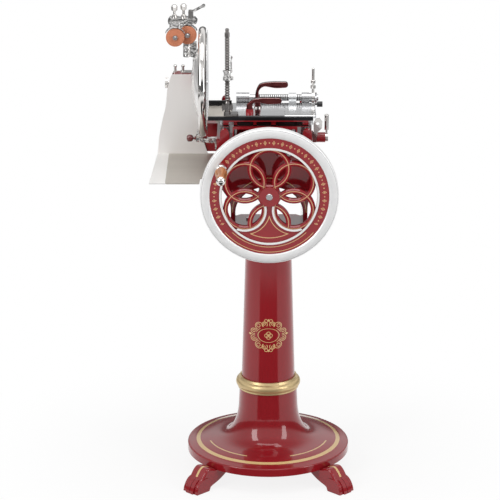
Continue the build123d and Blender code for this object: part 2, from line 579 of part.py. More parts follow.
# ---- blade arm: casting that rises behind the plate and reaches forward to the hub ----
POST_LEFT = -301.0
POST_FRONT = PLATE_Y + PLATE_T + 4
POST_BACK = POST_FRONT + 46
ARM_FOOT_TOP = 1096.0
ARM_FOOT_BOTTOM = 1006.0
HUB_BOSS_R = 34.0
HUB_FLAT = 14.0
KNOB_Y = (POST_FRONT + POST_BACK) / 2
KNOB_Z = BLADE_Z - 31
KNOB_SEAT = -308.0
BOSS_DROP = 33.0  # guard boss below the blade's axis
GUARD_BOSS_Y = BLADE_Y + sqrt((GUARD_R - 8) ** 2 - BOSS_DROP ** 2)
with BuildPart() as blade_arm:
    with BuildSketch(front(POST_BACK)):
        with BuildLine():
            sill = Line((FRAME_LEFT + 30, ARM_FOOT_BOTTOM), (-252, ARM_FOOT_BOTTOM))
            heel = ThreePointArc(sill @ 1, (-302, 1032), (-322, 1090))
            outer_side = Spline(heel @ 1, (-312, 1180), (POST_LEFT, PLATE_TOP - 8),
                                tangents=((0, 1), (0.3, 1)))
            crest = Line(outer_side @ 1, (POST_LEFT + 6, PLATE_TOP))
            Polyline(crest @ 1, (ARM_LEFT + 2, PLATE_TOP), (ARM_LEFT + 2, 1130),
                     (ARM_LEFT + 32, ARM_FOOT_TOP), (FRAME_LEFT + 30, ARM_FOOT_TOP), sill @ 0)
        make_face()
    extrude(amount=POST_BACK - POST_FRONT)
    with BuildSketch(side(ARM_LEFT)):
        with BuildLine():
            Polyline((BLADE_Y - HUB_FLAT, BLADE_Z), (BLADE_Y, BLADE_Z - HUB_BOSS_R),
                     (POST_FRONT, BLADE_Z - 40), (POST_BACK, BLADE_Z - 70),
                     (GUARD_BOSS_Y + 12, BLADE_Z - BOSS_DROP - 17),
                     (GUARD_BOSS_Y + 12, BLADE_Z - BOSS_DROP + 17),
                     (POST_BACK, PLATE_TOP), (POST_FRONT, PLATE_TOP),
                     (BLADE_Y + HUB_FLAT, BLADE_Z + HUB_BOSS_R), (BLADE_Y - HUB_FLAT, BLADE_Z + HUB_BOSS_R),
                     close=True)
        make_face()
        with Locations((BLADE_Y, BLADE_Z)):
            Circle(HUB_BOSS_R)
    extrude(amount=ARM_W - 8)
    with BuildSketch(side(ARM_LEFT, y=BLADE_Y, z=BLADE_Z)):
        Circle(BLADE_HUB_R - 6)
    extrude(amount=ARM_W)
    with BuildSketch(side(ARM_LEFT + 4 - SEAT, y=BLADE_Y, z=BLADE_Z)):
        Circle(SHAFT_R + FIT)
    extrude(amount=ARM_W + 4, mode=Mode.SUBTRACT)
    # small boss on the left flank for the plate's clamp knob
    with BuildSketch(side(KNOB_SEAT, y=KNOB_Y, z=KNOB_Z)):
        Circle(9)
    extrude(amount=12)
    # pad that meets the left cheek of the frame
    with BuildSketch(side(FRAME_LEFT)):
        with Locations((FRAME_BACK, ARM_FOOT_BOTTOM)):
            Rectangle(POST_FRONT - FRAME_BACK + 1, ARM_FOOT_TOP - ARM_FOOT_BOTTOM, align=Align.MIN)
    extrude(amount=30)
keep(blade_arm.part, "blade_arm")

# ---- domed cover of the blade's left face and the guard ring round its back -----------
COVER_RIGHT = BLADE_X - 8 - BLADE_T - 1
with BuildPart() as blade_cover:
    with BuildSketch(blade_profile()):
        with BuildLine():
            outer_dome = Spline((COVER_RIGHT, COVER_R), (DOME_LEFT + 19, COVER_R * 0.85),
                                (DOME_LEFT + 9, COVER_R * 0.61), (DOME_LEFT + 1, COVER_R * 0.31))
            Polyline(outer_dome @ 1, (DOME_LEFT, 0), (DOME_LEFT + COVER_T, 0),
                     (DOME_LEFT + 1 + COVER_T, COVER_R * 0.31))
            inner_dome = Spline((DOME_LEFT + 1 + COVER_T, COVER_R * 0.31),
                                (DOME_LEFT + 9 + COVER_T * 0.9, COVER_R * 0.61 - COVER_T / 2),
                                (DOME_LEFT + 19 + COVER_T * 0.7, COVER_R * 0.85 - COVER_T),
                                (COVER_RIGHT, COVER_R - 3))
            Line(inner_dome @ 1, outer_dome @ 0)
        make_face()
    revolve(axis=BLADE_AXIS)
    # slots where the arm and the sharpener's bracket pass through the dome
    with BuildSketch(side(DOME_LEFT - 1)):
        with Locations((BLADE_Y, BLADE_Z + HUB_BOSS_R - 6)):
            Rectangle(2 * HUB_FLAT + 3, COVER_R, align=(Align.CENTER, Align.MIN))
        with Locations((BLADE_Y + 2, BLADE_Z - 43)):
            Rectangle(COVER_R, 80, align=Align.MIN)
    extrude(amount=ARM_RIGHT - 4 - DOME_LEFT, mode=Mode.SUBTRACT)
    # pad in the middle, by which the cover is screwed to the arm's hub
    with BuildSketch(side(ARM_LEFT, y=BLADE_Y, z=BLADE_Z)):
        Circle(COVER_R * 0.12)
    extrude(amount=DOME_LEFT + COVER_T / 2 - ARM_LEFT)
keep(blade_cover.part, "blade_cover")

GUARD_RIGHT = BLADE_LEFT - 2
GUARD_LEFT = GUARD_RIGHT - 22
ARM_FACE = ARM_RIGHT - 8
with BuildPart() as blade_guard:
    with BuildSketch(blade_profile()):
        with BuildLine():
            back_face = Line((GUARD_RIGHT, GUARD_R - 16), (GUARD_RIGHT, GUARD_R - 2))
            roll = ThreePointArc(back_face @ 1, ((GUARD_RIGHT + GUARD_LEFT) / 2 + 4, GUARD_R + 3),
                                 (GUARD_LEFT, GUARD_R - 5))
            Polyline(roll @ 1, (GUARD_LEFT, GUARD_R - 16), (GUARD_LEFT + 4, GUARD_R - 16),
                     (GUARD_LEFT + 5, GUARD_R - 6), (GUARD_RIGHT - 3, GUARD_R - 6),
                     (GUARD_RIGHT - 3, GUARD_R - 16), back_face @ 0)
        make_face()
    revolve(axis=BLADE_AXIS)
    with BuildSketch(side(ARM_FACE, y=GUARD_BOSS_Y, z=BLADE_Z - BOSS_DROP)):
        Circle(7)
    extrude(amount=GUARD_LEFT - ARM_FACE + 3)
keep(blade_guard.part, "blade_guard")

# ---- bracket under the guard, and the dark ball knob of its clamp ----------------------
LINK_TOP = BLADE_Z - GUARD_R - 6
LINK_Y = BLADE_Y - 20
with BuildPart() as guard_bracket:
    with BuildSketch(front(LINK_Y + 12)):
        with BuildLine():
            Polyline((FRAME_LEFT, LINK_TOP), (GUARD_LEFT, LINK_TOP), (GUARD_LEFT, LINK_TOP + 24),
                     (GUARD_LEFT - 6, LINK_TOP + 24), (GUARD_LEFT - 10, LINK_TOP + 8),
                     (GUARD_LEFT - 10, LINK_TOP - 10), (FRAME_LEFT - 8, LINK_TOP - 14),
                     (FRAME_LEFT - 8, LINK_TOP - 34), (FRAME_LEFT, LINK_TOP - 34), close=True)
        make_face()
    extrude(amount=24)
    chamfer(guard_bracket.edges().filter_by(Axis.Y), 1.2)
keep(guard_bracket.part, "guard_bracket")

with BuildPart() as guard_knob:
    with BuildSketch(front(LINK_Y, x=GUARD_LEFT - 10, z=LINK_TOP - 1)):
        with BuildLine():
            stem = Polyline((0, 0), (0, 6), (-4, 6), (-4, 3.5), (-8, 3.5))
            ball = Spline(stem @ 1, (-18, 11), (-29, 0), tangents=((-0.3, 1), (0, -1)))
            Line(ball @ 1, stem @ 0)
        make_face()
    revolve(axis=Axis((AXIS_X + GUARD_LEFT - 10, AXIS_Y + LINK_Y, LINK_TOP - 1), (1, 0, 0)))
keep(guard_knob.part, "guard_knob")

# ---- slice side: upright deflector plate on a flat polished tray ----------------------
PLATE_LEFT = TRAY_LEFT + 13
with BuildPart() as deflector_plate:
    with BuildSketch(front(PLATE_Y + PLATE_T)):
        with BuildLine():
            hem = Line((PLATE_LEFT, TRAY_Z + TRAY_T), (-190, TRAY_Z + TRAY_T))
            inner_edge = Spline(hem @ 1, (-204, 1044), (-219, 1112), (-234.5, 1200), (-237, PLATE_TOP - 4))
            head = Line(inner_edge @ 1, (-240, PLATE_TOP))
            top = Line(head @ 1, (-297, PLATE_TOP))
            Spline(top @ 1, (-304.5, PLATE_TOP - 8), (-315, 1208), (-321, 1153), (-334, 1099),
                   (-345, 1044), hem @ 0, tangents=((-1, -0.1), (-0.1, -1)))
        make_face()
    extrude(amount=PLATE_T)
    for x, z in ((-268, 1215), (-290, 1050)):
        with BuildSketch(front(POST_FRONT, x=x, z=z)):
            Circle(7)
        extrude(amount=POST_FRONT - PLATE_Y - PLATE_T)
keep(deflector_plate.part, "deflector_plate")

with BuildPart() as slice_tray:
    with BuildSketch(level(TRAY_Z)):
        with BuildLine():
            Polyline((TRAY_LEFT, TRAY_FRONT), (FRAME_LEFT - 52, TRAY_FRONT),
                     (FRAME_LEFT - 50, TRAY_FRONT + 60),
                     (FRAME_LEFT, TRAY_FRONT + 60), (FRAME_LEFT, PLATE_Y + PLATE_T),
                     (PLATE_LEFT, PLATE_Y + PLATE_T), close=True)
        make_face()
    extrude(amount=TRAY_T)
    with BuildSketch(level(TRAY_Z)):
        with Locations((FRAME_LEFT - TRAY_T / 2, (FRAME_FRONT + PLATE_Y) / 2 - 10)):
            Rectangle(TRAY_T, 200)
    extrude(amount=TRAY_LIP)
keep(slice_tray.part, "slice_tray")

# two chrome pins on the arm's crest hold the plate's clip; a knurled knob clamps its side
with BuildPart() as plate_pins:
    for x in (-291.0, -267.0):
        with BuildSketch(front(KNOB_Y, x=x, z=PLATE_TOP)):
            with BuildLine():
                Polyline((0, 0), (7, 0), (7, 4), (4, 5), (4, 17), (5.5, 18), (5.5, 22), (4, 24), (0, 24),
                         close=True)
            make_face()
        revolve(axis=Axis((AXIS_X + x, AXIS_Y + KNOB_Y, 0), (0, 0, 1)))
    with BuildSketch(level(PLATE_TOP)):
        with Locations((-255, KNOB_Y)):
            RectangleRounded(40, 30, 4)
    extrude(amount=4)
keep(plate_pins.part, "plate_pins")

# ---- guide rods and the bridge that carries their back ends ----------------------------
BRIDGE_T = 22.0
with BuildPart() as guide_rods:
    for x in ROD_XS:
        with BuildSketch(front(ROD_BACK - 6, x=x, z=ROD_Z)):
            Circle(ROD_R)
        extrude(amount=ROD_BACK - 6 - ROD_FRONT - 4)
keep(guide_rods.part, "guide_rods")

with BuildPart() as rear_bridge:
    with BuildSketch(level(FRAME_TOP - 20)):
        for x in ROD_XS:
            with Locations((x, (FRAME_BACK + ROD_BACK) / 2)):
                Rectangle(24, ROD_BACK - FRAME_BACK)
        with Locations((sum(ROD_XS) / 2, ROD_BACK - BRIDGE_T / 2)):
            Rectangle(ROD_XS[1] - ROD_XS[0] + 2 * LUG_R, BRIDGE_T)
    extrude(amount=16)
    for x in ROD_XS:
        with BuildSketch(front(ROD_BACK, x=x)):
            with Locations((0, ROD_Z)):
                Circle(LUG_R)
            with Locations((0, (FRAME_TOP + ROD_Z) / 2 - 4)):
                Rectangle(2 * LUG_R, ROD_Z - FRAME_TOP + 8)
        extrude(amount=BRIDGE_T)
        with BuildSketch(front(ROD_BACK - 6, x=x, z=ROD_Z)):
            Circle(ROD_R + FIT)
        extrude(amount=BRIDGE_T, mode=Mode.SUBTRACT)
keep(rear_bridge.part, "rear_bridge")

# ---- carriage: four bushed blocks under a plate with two cross rails -------------------
CAR_LEFT = -150.0
CAR_RIGHT = 132.0
CAR_FRONT = -142.0
CAR_BACK = 60.0
CAR_T = 14.0
BLOCK_L = 30.0
RAIL_H = 9.0
RAIL_W = 22.0
CAR_Z = TABLE_TOP - TABLE_T - RAIL_H - SEAT - CAR_T
RAIL_YS = (CAR_FRONT + 26, -14.0)
SCREW_Y = 38.0
SCREW_Z = 1198.0
SCREW_R = 10.0
SCREW_LEFT = -84.0
SCREW_RIGHT = 124.0
CHEEK_T = 22.0
LEVER_LEFT = SCREW_RIGHT + 8.5
LEVER_T = 8.0
LEVER_BOSS_R = 14.0
RATCHET_LEFT = LEVER_LEFT + LEVER_T + 2
RATCHET_T = 5.0
CLAMP_Y = SCREW_Y - 11
CLAMP_Z = SCREW_Z - 18
CLAMP_R = 3.0
with BuildPart() as carriage:
    with BuildSketch(level(CAR_Z)):
        with Locations(((CAR_LEFT + CAR_RIGHT) / 2, (CAR_FRONT + CAR_BACK) / 2)):
            RectangleRounded(CAR_RIGHT - CAR_LEFT, CAR_BACK - CAR_FRONT, 8)
            RectangleRounded(CAR_RIGHT - CAR_LEFT - 110, 70, 12, mode=Mode.SUBTRACT)
    extrude(amount=CAR_T)
    for x in ROD_XS:
        for y in (CAR_FRONT + BLOCK_L + 2, CAR_BACK - 2):
            with BuildSketch(front(y, x=x)):
                with Locations((0, ROD_Z)):
                    Circle(LUG_R)
                with Locations((0, (ROD_Z + CAR_Z) / 2)):
                    Rectangle(2 * LUG_R, CAR_Z - ROD_Z)
            extrude(amount=BLOCK_L)
            with BuildSketch(front(y, x=x, z=ROD_Z)):
                Circle(ROD_R + FIT)
            extrude(amount=BLOCK_L, mode=Mode.SUBTRACT)
    with BuildSketch(level(CAR_Z + CAR_T)):
        for y in RAIL_YS:
            with Locations(((TABLE_LEFT + CAR_RIGHT - 10) / 2, y)):
                Rectangle(CAR_RIGHT - 10 - TABLE_LEFT, RAIL_W)
    extrude(amount=RAIL_H)
    # cheeks that carry the feed screw behind the table
    for x0, x1 in ((SCREW_LEFT - 16, SCREW_LEFT + 24), (SCREW_RIGHT - CHEEK_T, SCREW_RIGHT)):
        with BuildSketch(side(x0)):
            with Locations((SCREW_Y, SCREW_Z)):
                Circle(SCREW_R + 6)
            with Locations((SCREW_Y, (SCREW_Z + CAR_Z + CAR_T) / 2)):
                Rectangle(2 * SCREW_R + 12, SCREW_Z - CAR_Z - CAR_T)
        extrude(amount=x1 - x0)
    with BuildSketch(side(SCREW_RIGHT, y=SCREW_Y, z=SCREW_Z)):
        Circle(LEVER_BOSS_R)
    extrude(amount=LEVER_LEFT + LEVER_T + 1 - SCREW_RIGHT)
    with BuildSketch(side(SCREW_LEFT - 4, y=SCREW_Y, z=SCREW_Z)):
        Circle(SCREW_R + FIT)
    extrude(amount=RATCHET_LEFT - SCREW_LEFT + 4, mode=Mode.SUBTRACT)
    with BuildSketch(side(SCREW_RIGHT - 12, y=CLAMP_Y, z=CLAMP_Z)):
        Circle(CLAMP_R + FIT)
    extrude(amount=12, mode=Mode.SUBTRACT)
keep(carriage.part, "carriage")

# ---- red apron across the carriage's front, with sunk panels and a flange on top -------
APRON_T = 8.0
APRON_LEFT = -139.0
APRON_RIGHT = 118.0
APRON_TOP = 1174.0
APRON_BOTTOM = ROD_Z + ROD_R + 3
NOTCH = (-122.0, -107.0)
BAR_T = 10.0
BAR_H = 11.0
with BuildPart() as carriage_apron:
    with BuildSketch(front(CAR_FRONT)):
        with BuildLine():
            Polyline((APRON_LEFT, APRON_BOTTOM), (NOTCH[0], APRON_BOTTOM), (NOTCH[0], APRON_TOP - 7),
                     (NOTCH[1], APRON_TOP - 7), (NOTCH[1], APRON_BOTTOM), (APRON_RIGHT, APRON_BOTTOM),
                     (APRON_RIGHT, APRON_TOP), (APRON_LEFT, APRON_TOP), close=True)
        make_face()
    extrude(amount=APRON_T)
    with BuildSketch(front(CAR_FRONT - APRON_T)):
        with Locations((60, 1162)):
            SlotOverall(82, 17)
        with Locations((-72, 1162)):
            SlotOverall(50, 16)
        with Locations((-16, 1162)):
            SlotOverall(46, 16)
    extrude(amount=-APRON_T / 2, mode=Mode.SUBTRACT)
    with BuildSketch(level(APRON_TOP - 3)):
        with Locations(((APRON_LEFT + APRON_RIGHT) / 2, CAR_FRONT)):
            Rectangle(APRON_RIGHT - APRON_LEFT, CAR_FRONT - TABLE_FRONT + BAR_T + SEAT,
                      align=(Align.CENTER, Align.MAX))
    extrude(amount=3)
keep(carriage_apron.part, "carriage_apron")

# ---- end plate beside the blade, between two dark bars ---------------------------------
END_LEFT = BLADE_X + 3
END_TOP = TABLE_TOP - TABLE_T - 1
BACK_BAR_TOP = 1193.0
with BuildPart() as end_plate:
    with BuildSketch(level(END_TOP - 6)):
        with Locations((END_LEFT, CAR_FRONT)):
            Rectangle(TABLE_LEFT - 1 - END_LEFT, TABLE_BACK - CAR_FRONT, align=Align.MIN)
    extrude(amount=6)
    with BuildSketch(level(CAR_Z)):
        with Locations((CAR_LEFT, (CAR_FRONT + TABLE_BACK) / 2)):
            Rectangle(12, 100, align=(Align.MAX, Align.CENTER))
    extrude(amount=END_TOP - 6 - CAR_Z)
keep(end_plate.part, "end_plate")

with BuildPart() as end_bars:
    # front bar: along the apron's flange, past the table's edge and on to the blade
    with BuildSketch(level(APRON_TOP)):
        with Locations((END_LEFT, TABLE_FRONT - SEAT)):
            Rectangle(CAR_RIGHT - END_LEFT, BAR_T, align=(Align.MIN, Align.MAX))
    extrude(amount=BAR_H)
    # back bar: against the end plate's far edge
    with BuildSketch(level(END_TOP - 6)):
        with Locations((END_LEFT, TABLE_BACK)):
            Rectangle(TABLE_LEFT - END_LEFT - 2, BAR_T, align=Align.MIN)
    extrude(amount=BACK_BAR_TOP - END_TOP + 6)
keep(end_bars.part, "end_bars")

# ---- meat table: polished plates on a frame that slides along the cross rails ----------
TABLE_FLOOR = TABLE_TOP - TABLE_T
NUT_X = 62.0
NUT_L = 22.0
SEAM_X = 46.0
with BuildPart() as meat_table:
    with BuildSketch(level(TABLE_FLOOR)):
        with Locations(((TABLE_LEFT + TABLE_RIGHT) / 2, (TABLE_FRONT + TABLE_BACK) / 2)):
            RectangleRounded(TABLE_RIGHT - TABLE_LEFT, TABLE_BACK - TABLE_FRONT, 5)
    extrude(amount=TABLE_T)
    with BuildSketch(level(TABLE_TOP)):
        with Locations((SEAM_X, (TABLE_FRONT + TABLE_BACK) / 2)):
            Rectangle(1.6, TABLE_BACK - TABLE_FRONT)
    extrude(amount=-2, mode=Mode.SUBTRACT)
    chamfer(meat_table.faces().sort_by(Axis.Z)[-1].edges(), 1)
    # lug with the feed nut
    with BuildSketch(side(NUT_X)):
        with Locations((SCREW_Y, SCREW_Z)):
            Circle(SCREW_R + 5)
        with Locations(((TABLE_BACK + SCREW_Y) / 2 - 4, TABLE_TOP - TABLE_T / 2 + 2)):
            Rectangle(SCREW_Y - TABLE_BACK + 8, TABLE_T + 4)
        with Locations((SCREW_Y, SCREW_Z)):
            Circle(SCREW_R + FIT, mode=Mode.SUBTRACT)
    extrude(amount=NUT_L)
keep(meat_table.part, "meat_table")

# ---- feed screw with its ratchet wheel, knob and lever ---------------------------------
KNOB_LEFT = RATCHET_LEFT + RATCHET_T + 1
with BuildPart() as feed_screw:
    with BuildSketch(side(SCREW_LEFT, y=SCREW_Y, z=SCREW_Z)):
        Circle(SCREW_R)
    extrude(amount=RATCHET_LEFT + RATCHET_T + 5 - SCREW_LEFT)
keep(feed_screw.part, "feed_screw")

with BuildPart() as ratchet_wheel:
    with BuildSketch(side(RATCHET_LEFT, y=SCREW_Y, z=SCREW_Z)):
        Circle(SCREW_R + 4)
        with BuildLine(mode=Mode.PRIVATE) as pawl_tooth:
            Polyline((SCREW_R + 3, -3), (SCREW_R + 6, 2.4), (SCREW_R + 3, 2.8), close=True)
        tooth = make_face(pawl_tooth.edges(), mode=Mode.PRIVATE)
        with PolarLocations(0, 16):
            add(tooth)
        Circle(SCREW_R, mode=Mode.SUBTRACT)
    extrude(amount=RATCHET_T)
keep(ratchet_wheel.part, "ratchet_wheel")

# knurled knob below the screw's end, which clamps the bracket
with BuildPart() as clamp_knob:
    with BuildSketch(side(KNOB_LEFT, y=CLAMP_Y, z=CLAMP_Z)):
        Circle(8.5)
        with PolarLocations(8.8, 20):
            Circle(0.8, mode=Mode.SUBTRACT)
    extrude(amount=17)
    with BuildSketch(side(SCREW_RIGHT - 12, y=CLAMP_Y, z=CLAMP_Z)):
        Circle(CLAMP_R)
    extrude(amount=KNOB_LEFT + 1 - SCREW_RIGHT + 12)
keep(clamp_knob.part, "clamp_knob")

LEVER_L = 93.0
with BuildPart() as feed_lever:
    with BuildSketch(side(LEVER_LEFT, y=SCREW_Y, z=SCREW_Z)):
        Circle(LEVER_BOSS_R + 3)
        with Locations((0, 28)):
            SlotOverall(56, 12, rotation=90)
        Circle(LEVER_BOSS_R + FIT, mode=Mode.SUBTRACT)
    extrude(amount=LEVER_T)
    rod_x = LEVER_LEFT + LEVER_T / 2
    with BuildSketch(level(SCREW_Z + 30, x=rod_x, y=SCREW_Y)):
        Circle(4)
    extrude(amount=LEVER_L - 30)
    for h, r in ((30, 8), (46, 7)):
        with BuildSketch(level(SCREW_Z + h, x=rod_x, y=SCREW_Y)):
            Circle(r)
        extrude(amount=8)
    fillet(feed_lever.faces().sort_by(Axis.Z)[-1].edges(), 2.5)
keep(feed_lever.part, "feed_lever")

# ---- press post on the table's front corner: rack, neck, winged foot -------------------
POST_X = -126.0
POST_Y = -150.0
POST_R = 7.5
POST_FOOT_T = 6.0
POST_TOP = 1453.0
NECK_TOP_Z = 1236.0
RACK_PITCH = 8.0
RACK_DEPTH = 1.8
with BuildPart() as press_post:
    # foot plate on the table's corner, and the two wings of the clamp above it
    with BuildSketch(level(TABLE_TOP)):
        with Locations((POST_X + 11, POST_Y + 9)):
            RectangleRounded(44, 36, 6)
    extrude(amount=POST_FOOT_T)
    with BuildSketch(front(POST_Y + 6)):
        for mirrored in (-1, 1):
            with BuildLine():
                Polyline((POST_X, 1203), (POST_X + mirrored * 8, 1206), (POST_X + mirrored * 15, 1201),
                         (POST_X + mirrored * 17, 1212), (POST_X + mirrored * 15, 1224),
                         (POST_X + mirrored * 8, 1219), (POST_X, 1222), close=True)
            make_face()
    extrude(amount=12)
    with BuildSketch(front(POST_Y)):
        with BuildLine():
            z = TABLE_TOP + POST_FOOT_T - 1
            neck = Polyline((POST_X, z), (POST_X + 10, z), (POST_X + 10, z + 4), (POST_X + 8, z + 7),
                            (POST_X + 8, 1226), (POST_X + 5.5, 1231), (POST_X + POST_R, NECK_TOP_Z))
            points = [neck @ 1]
            for i in range(int((POST_TOP - 18 - NECK_TOP_Z) / RACK_PITCH)):
                z = NECK_TOP_Z + 1 + i * RACK_PITCH
                points += [(POST_X + POST_R, z), (POST_X + POST_R - RACK_DEPTH, z + 2),
                           (POST_X + POST_R - RACK_DEPTH, z + 4), (POST_X + POST_R, z + 6)]
            rack = Polyline(*points)
            Polyline(rack @ 1, (POST_X + POST_R, POST_TOP - 14), (POST_X + 5, POST_TOP - 10),
                     (POST_X + 6, POST_TOP - 3), (POST_X + 4, POST_TOP), (POST_X, POST_TOP), neck @ 0)
        make_face()
    revolve(axis=Axis((AXIS_X + POST_X, AXIS_Y + POST_Y, 0), (0, 0, 1)))
keep(press_post.part, "press_post")

SLIDE_BOTTOM = 1296.0
with BuildPart() as press_slide:
    with BuildSketch(level(SLIDE_BOTTOM, x=POST_X, y=POST_Y)):
        Circle(13)
        with Locations((9, 6)):
            RectangleRounded(18, 12, 3)
    extrude(amount=9)
    with BuildSketch(level(SLIDE_BOTTOM + 9, x=POST_X, y=POST_Y)):
        Circle(10.5)
    extrude(amount=16)
    with BuildSketch(level(SLIDE_BOTTOM + 25, x=POST_X, y=POST_Y)):
        Circle(13)
    extrude(amount=4)
    with BuildSketch(front(POST_Y - 4)):
        with BuildLine():
            Polyline((POST_X + 9.5, SLIDE_BOTTOM + 20), (POST_X + 15, SLIDE_BOTTOM + 26),
                     (POST_X + 13, SLIDE_BOTTOM + 60), (POST_X + 16, SLIDE_BOTTOM + 70),
                     (POST_X + 11, SLIDE_BOTTOM + 74), (POST_X + 9.5, SLIDE_BOTTOM + 56), close=True)
        make_face()
    extrude(amount=-8)
    with BuildSketch(level(SLIDE_BOTTOM - 1, x=POST_X, y=POST_Y)):
        Circle(POST_R + FIT)
    extrude(amount=40, mode=Mode.SUBTRACT)
keep(press_slide.part, "press_slide")

# ---- two chrome clamp handles, each swinging on a short pillar of the table ------------
# place on the table, height of the palm above it, reach, and height of the pillar
HANDLES = {"press_handle_front": (-59.0, -128.0, 40.0, 94.0, 16.0),
           "press_handle_back": (-34.0, -44.0, 70.0, 89.0, 4.0)}
with BuildPart() as handle_pillars:
    for x, y, _, _, pillar in HANDLES.values():
        with BuildSketch(level(TABLE_TOP, x=x, y=y)):
            Circle(12)
        extrude(amount=pillar)
        with BuildSketch(level(TABLE_TOP + pillar, x=x, y=y)):
            Circle(5)
        extrude(amount=12)
keep(handle_pillars.part, "handle_pillars")

for name, (x, y, rise, reach, pillar) in HANDLES.items():
    base = TABLE_TOP + pillar + SEAT
    palm_z = TABLE_TOP + rise
    with BuildPart() as handle:
        with BuildSketch(front(y + 9, x=x)):
            with BuildLine():
                heel = Line((-9, base), (9, base))
                shin = Spline(heel @ 1, (7, palm_z - 12), (22, palm_z - 4),
                              tangents=((-0.1, 1), (1, 0.1)))
                palm = Spline(shin @ 1, (reach * 0.6, palm_z - 9), (reach - 6, palm_z - 8),
                              tangents=((1, -0.1), (1, 0.05)))
                tip = ThreePointArc(palm @ 1, (reach + 3, palm_z + 1), (reach - 4, palm_z + 10))
                back = Spline(tip @ 1, (30, palm_z + 9), (6, palm_z + 3),
                              tangents=((-1, 0), (-0.9, -0.5)))
                Spline(back @ 1, (-9, base + 12), heel @ 0, tangents=((-0.7, -0.7), (0, -1)))
            make_face()
        extrude(amount=18)
        fillet(handle.faces().filter_by(Axis.Y).edges().filter_by(GeomType.BSPLINE), 4)
        with BuildSketch(level(base, x=x, y=y)):
            Circle(9)
        extrude(amount=14)
        with BuildSketch(level(base, x=x, y=y)):
            Circle(5 + FIT)
        extrude(amount=12, mode=Mode.SUBTRACT)
    keep(handle.part, name)

# ---- sharpening head above the blade ---------------------------------------------------
TUBE_X = -250.0
TUBE_Y = BLADE_Y
TUBE_R = 12.5
STEM_R = 8.0
TUBE_BOTTOM = BLADE_Z + 79
TUBE_TOP = TUBE_BOTTOM + 45
HEAD_FRONT = 34.0
HEAD_T = 12.0
HEAD_BAR = TUBE_TOP + 58
HEAD_FLAT = HEAD_BAR + 18
STONES = {"left": (-285.0, HEAD_BAR - 34, -24.0), "right": (-248.0, HEAD_BAR - 31, -2.0)}  # x, z, y
SPINDLE_R = 5.0
with BuildPart() as sharpener_bracket:
    with BuildSketch(side(ARM_LEFT)):
        with BuildLine():
            Polyline((TUBE_Y - 14, BLADE_Z + HUB_BOSS_R), (TUBE_Y + 14, BLADE_Z + HUB_BOSS_R),
                     (TUBE_Y + 14, TUBE_BOTTOM - 9), (TUBE_Y + 11, TUBE_BOTTOM + 9),
                     (TUBE_Y + 11, TUBE_TOP),
                     (TUBE_Y - 11, TUBE_TOP), (TUBE_Y - 11, TUBE_BOTTOM + 9),
                     (TUBE_Y - 14, TUBE_BOTTOM - 9), close=True)
        make_face()
    extrude(amount=ARM_W - 9)
    with BuildSketch(level(TUBE_BOTTOM, x=TUBE_X, y=TUBE_Y)):
        Circle(TUBE_R)
        with Locations(((ARM_LEFT - TUBE_X) / 2 + 1, 0)):
            Rectangle(ARM_LEFT - TUBE_X + 2, 14)
        Circle(STEM_R + FIT, mode=Mode.SUBTRACT)
    extrude(amount=TUBE_TOP - TUBE_BOTTOM)
keep(sharpener_bracket.part, "sharpener_bracket")

with BuildPart() as sharpener_head:
    with BuildSketch(level(TUBE_BOTTOM + 8, x=TUBE_X, y=TUBE_Y)):
        Circle(STEM_R)
    extrude(amount=TUBE_TOP - TUBE_BOTTOM)
    with BuildSketch(front(HEAD_FRONT + HEAD_T)):
        for x, z, _ in STONES.values():
            with Locations((x, z)):
                Circle(15)
            with Locations((x, (z + HEAD_BAR) / 2 + 4)):
                Rectangle(20, HEAD_BAR - z + 8)
        with Locations((TUBE_X, (TUBE_TOP + SEAT + HEAD_BAR) / 2)):
            Rectangle(2 * TUBE_R, HEAD_BAR - TUBE_TOP - SEAT)
    extrude(amount=HEAD_T)
    with BuildSketch(front(HEAD_FRONT + HEAD_T)):
        with BuildLine():
            Polyline((-306, HEAD_BAR), (-222, HEAD_BAR), (-218, HEAD_BAR + 9), (-226, HEAD_FLAT),
                     (-302, HEAD_FLAT), (-308, HEAD_BAR + 9), close=True)
        make_face()
    extrude(amount=HEAD_FRONT + HEAD_T - 6)
    with BuildSketch(level(HEAD_BAR - 4, x=STONES["left"][0], y=STONES["left"][2])):
        with Locations((0, -9)):
            RectangleRounded(34, 80, 6, align=(Align.CENTER, Align.MIN))
    extrude(amount=HEAD_FLAT - HEAD_BAR - 4)
    # foot that reaches from the stem back to the plate, under the spindles
    with BuildSketch(level(TUBE_TOP + SEAT, x=TUBE_X, y=TUBE_Y)):
        Circle(TUBE_R)
        Rectangle(2 * TUBE_R, HEAD_FRONT + HEAD_T - TUBE_Y, align=(Align.CENTER, Align.MIN))
    extrude(amount=9)
    for x, z, y in STONES.values():
        # arched guard over each stone
        with BuildSketch(front(y + STONE_T / 2 + 5, x=x, z=z)):
            Circle(STONE_R + 5)
            Circle(STONE_R + 2.5, mode=Mode.SUBTRACT)
            with Locations((0, -STONE_R)):
                Rectangle(3 * STONE_R, 3 * STONE_R, mode=Mode.SUBTRACT)
        extrude(amount=STONE_T + 4)
    for x, z, y in STONES.values():
        with BuildSketch(front(HEAD_FRONT + HEAD_T, x=x, z=z)):
            Circle(SPINDLE_R + FIT)
        extrude(amount=HEAD_T + 2, mode=Mode.SUBTRACT)
keep(sharpener_head.part, "sharpener_head")

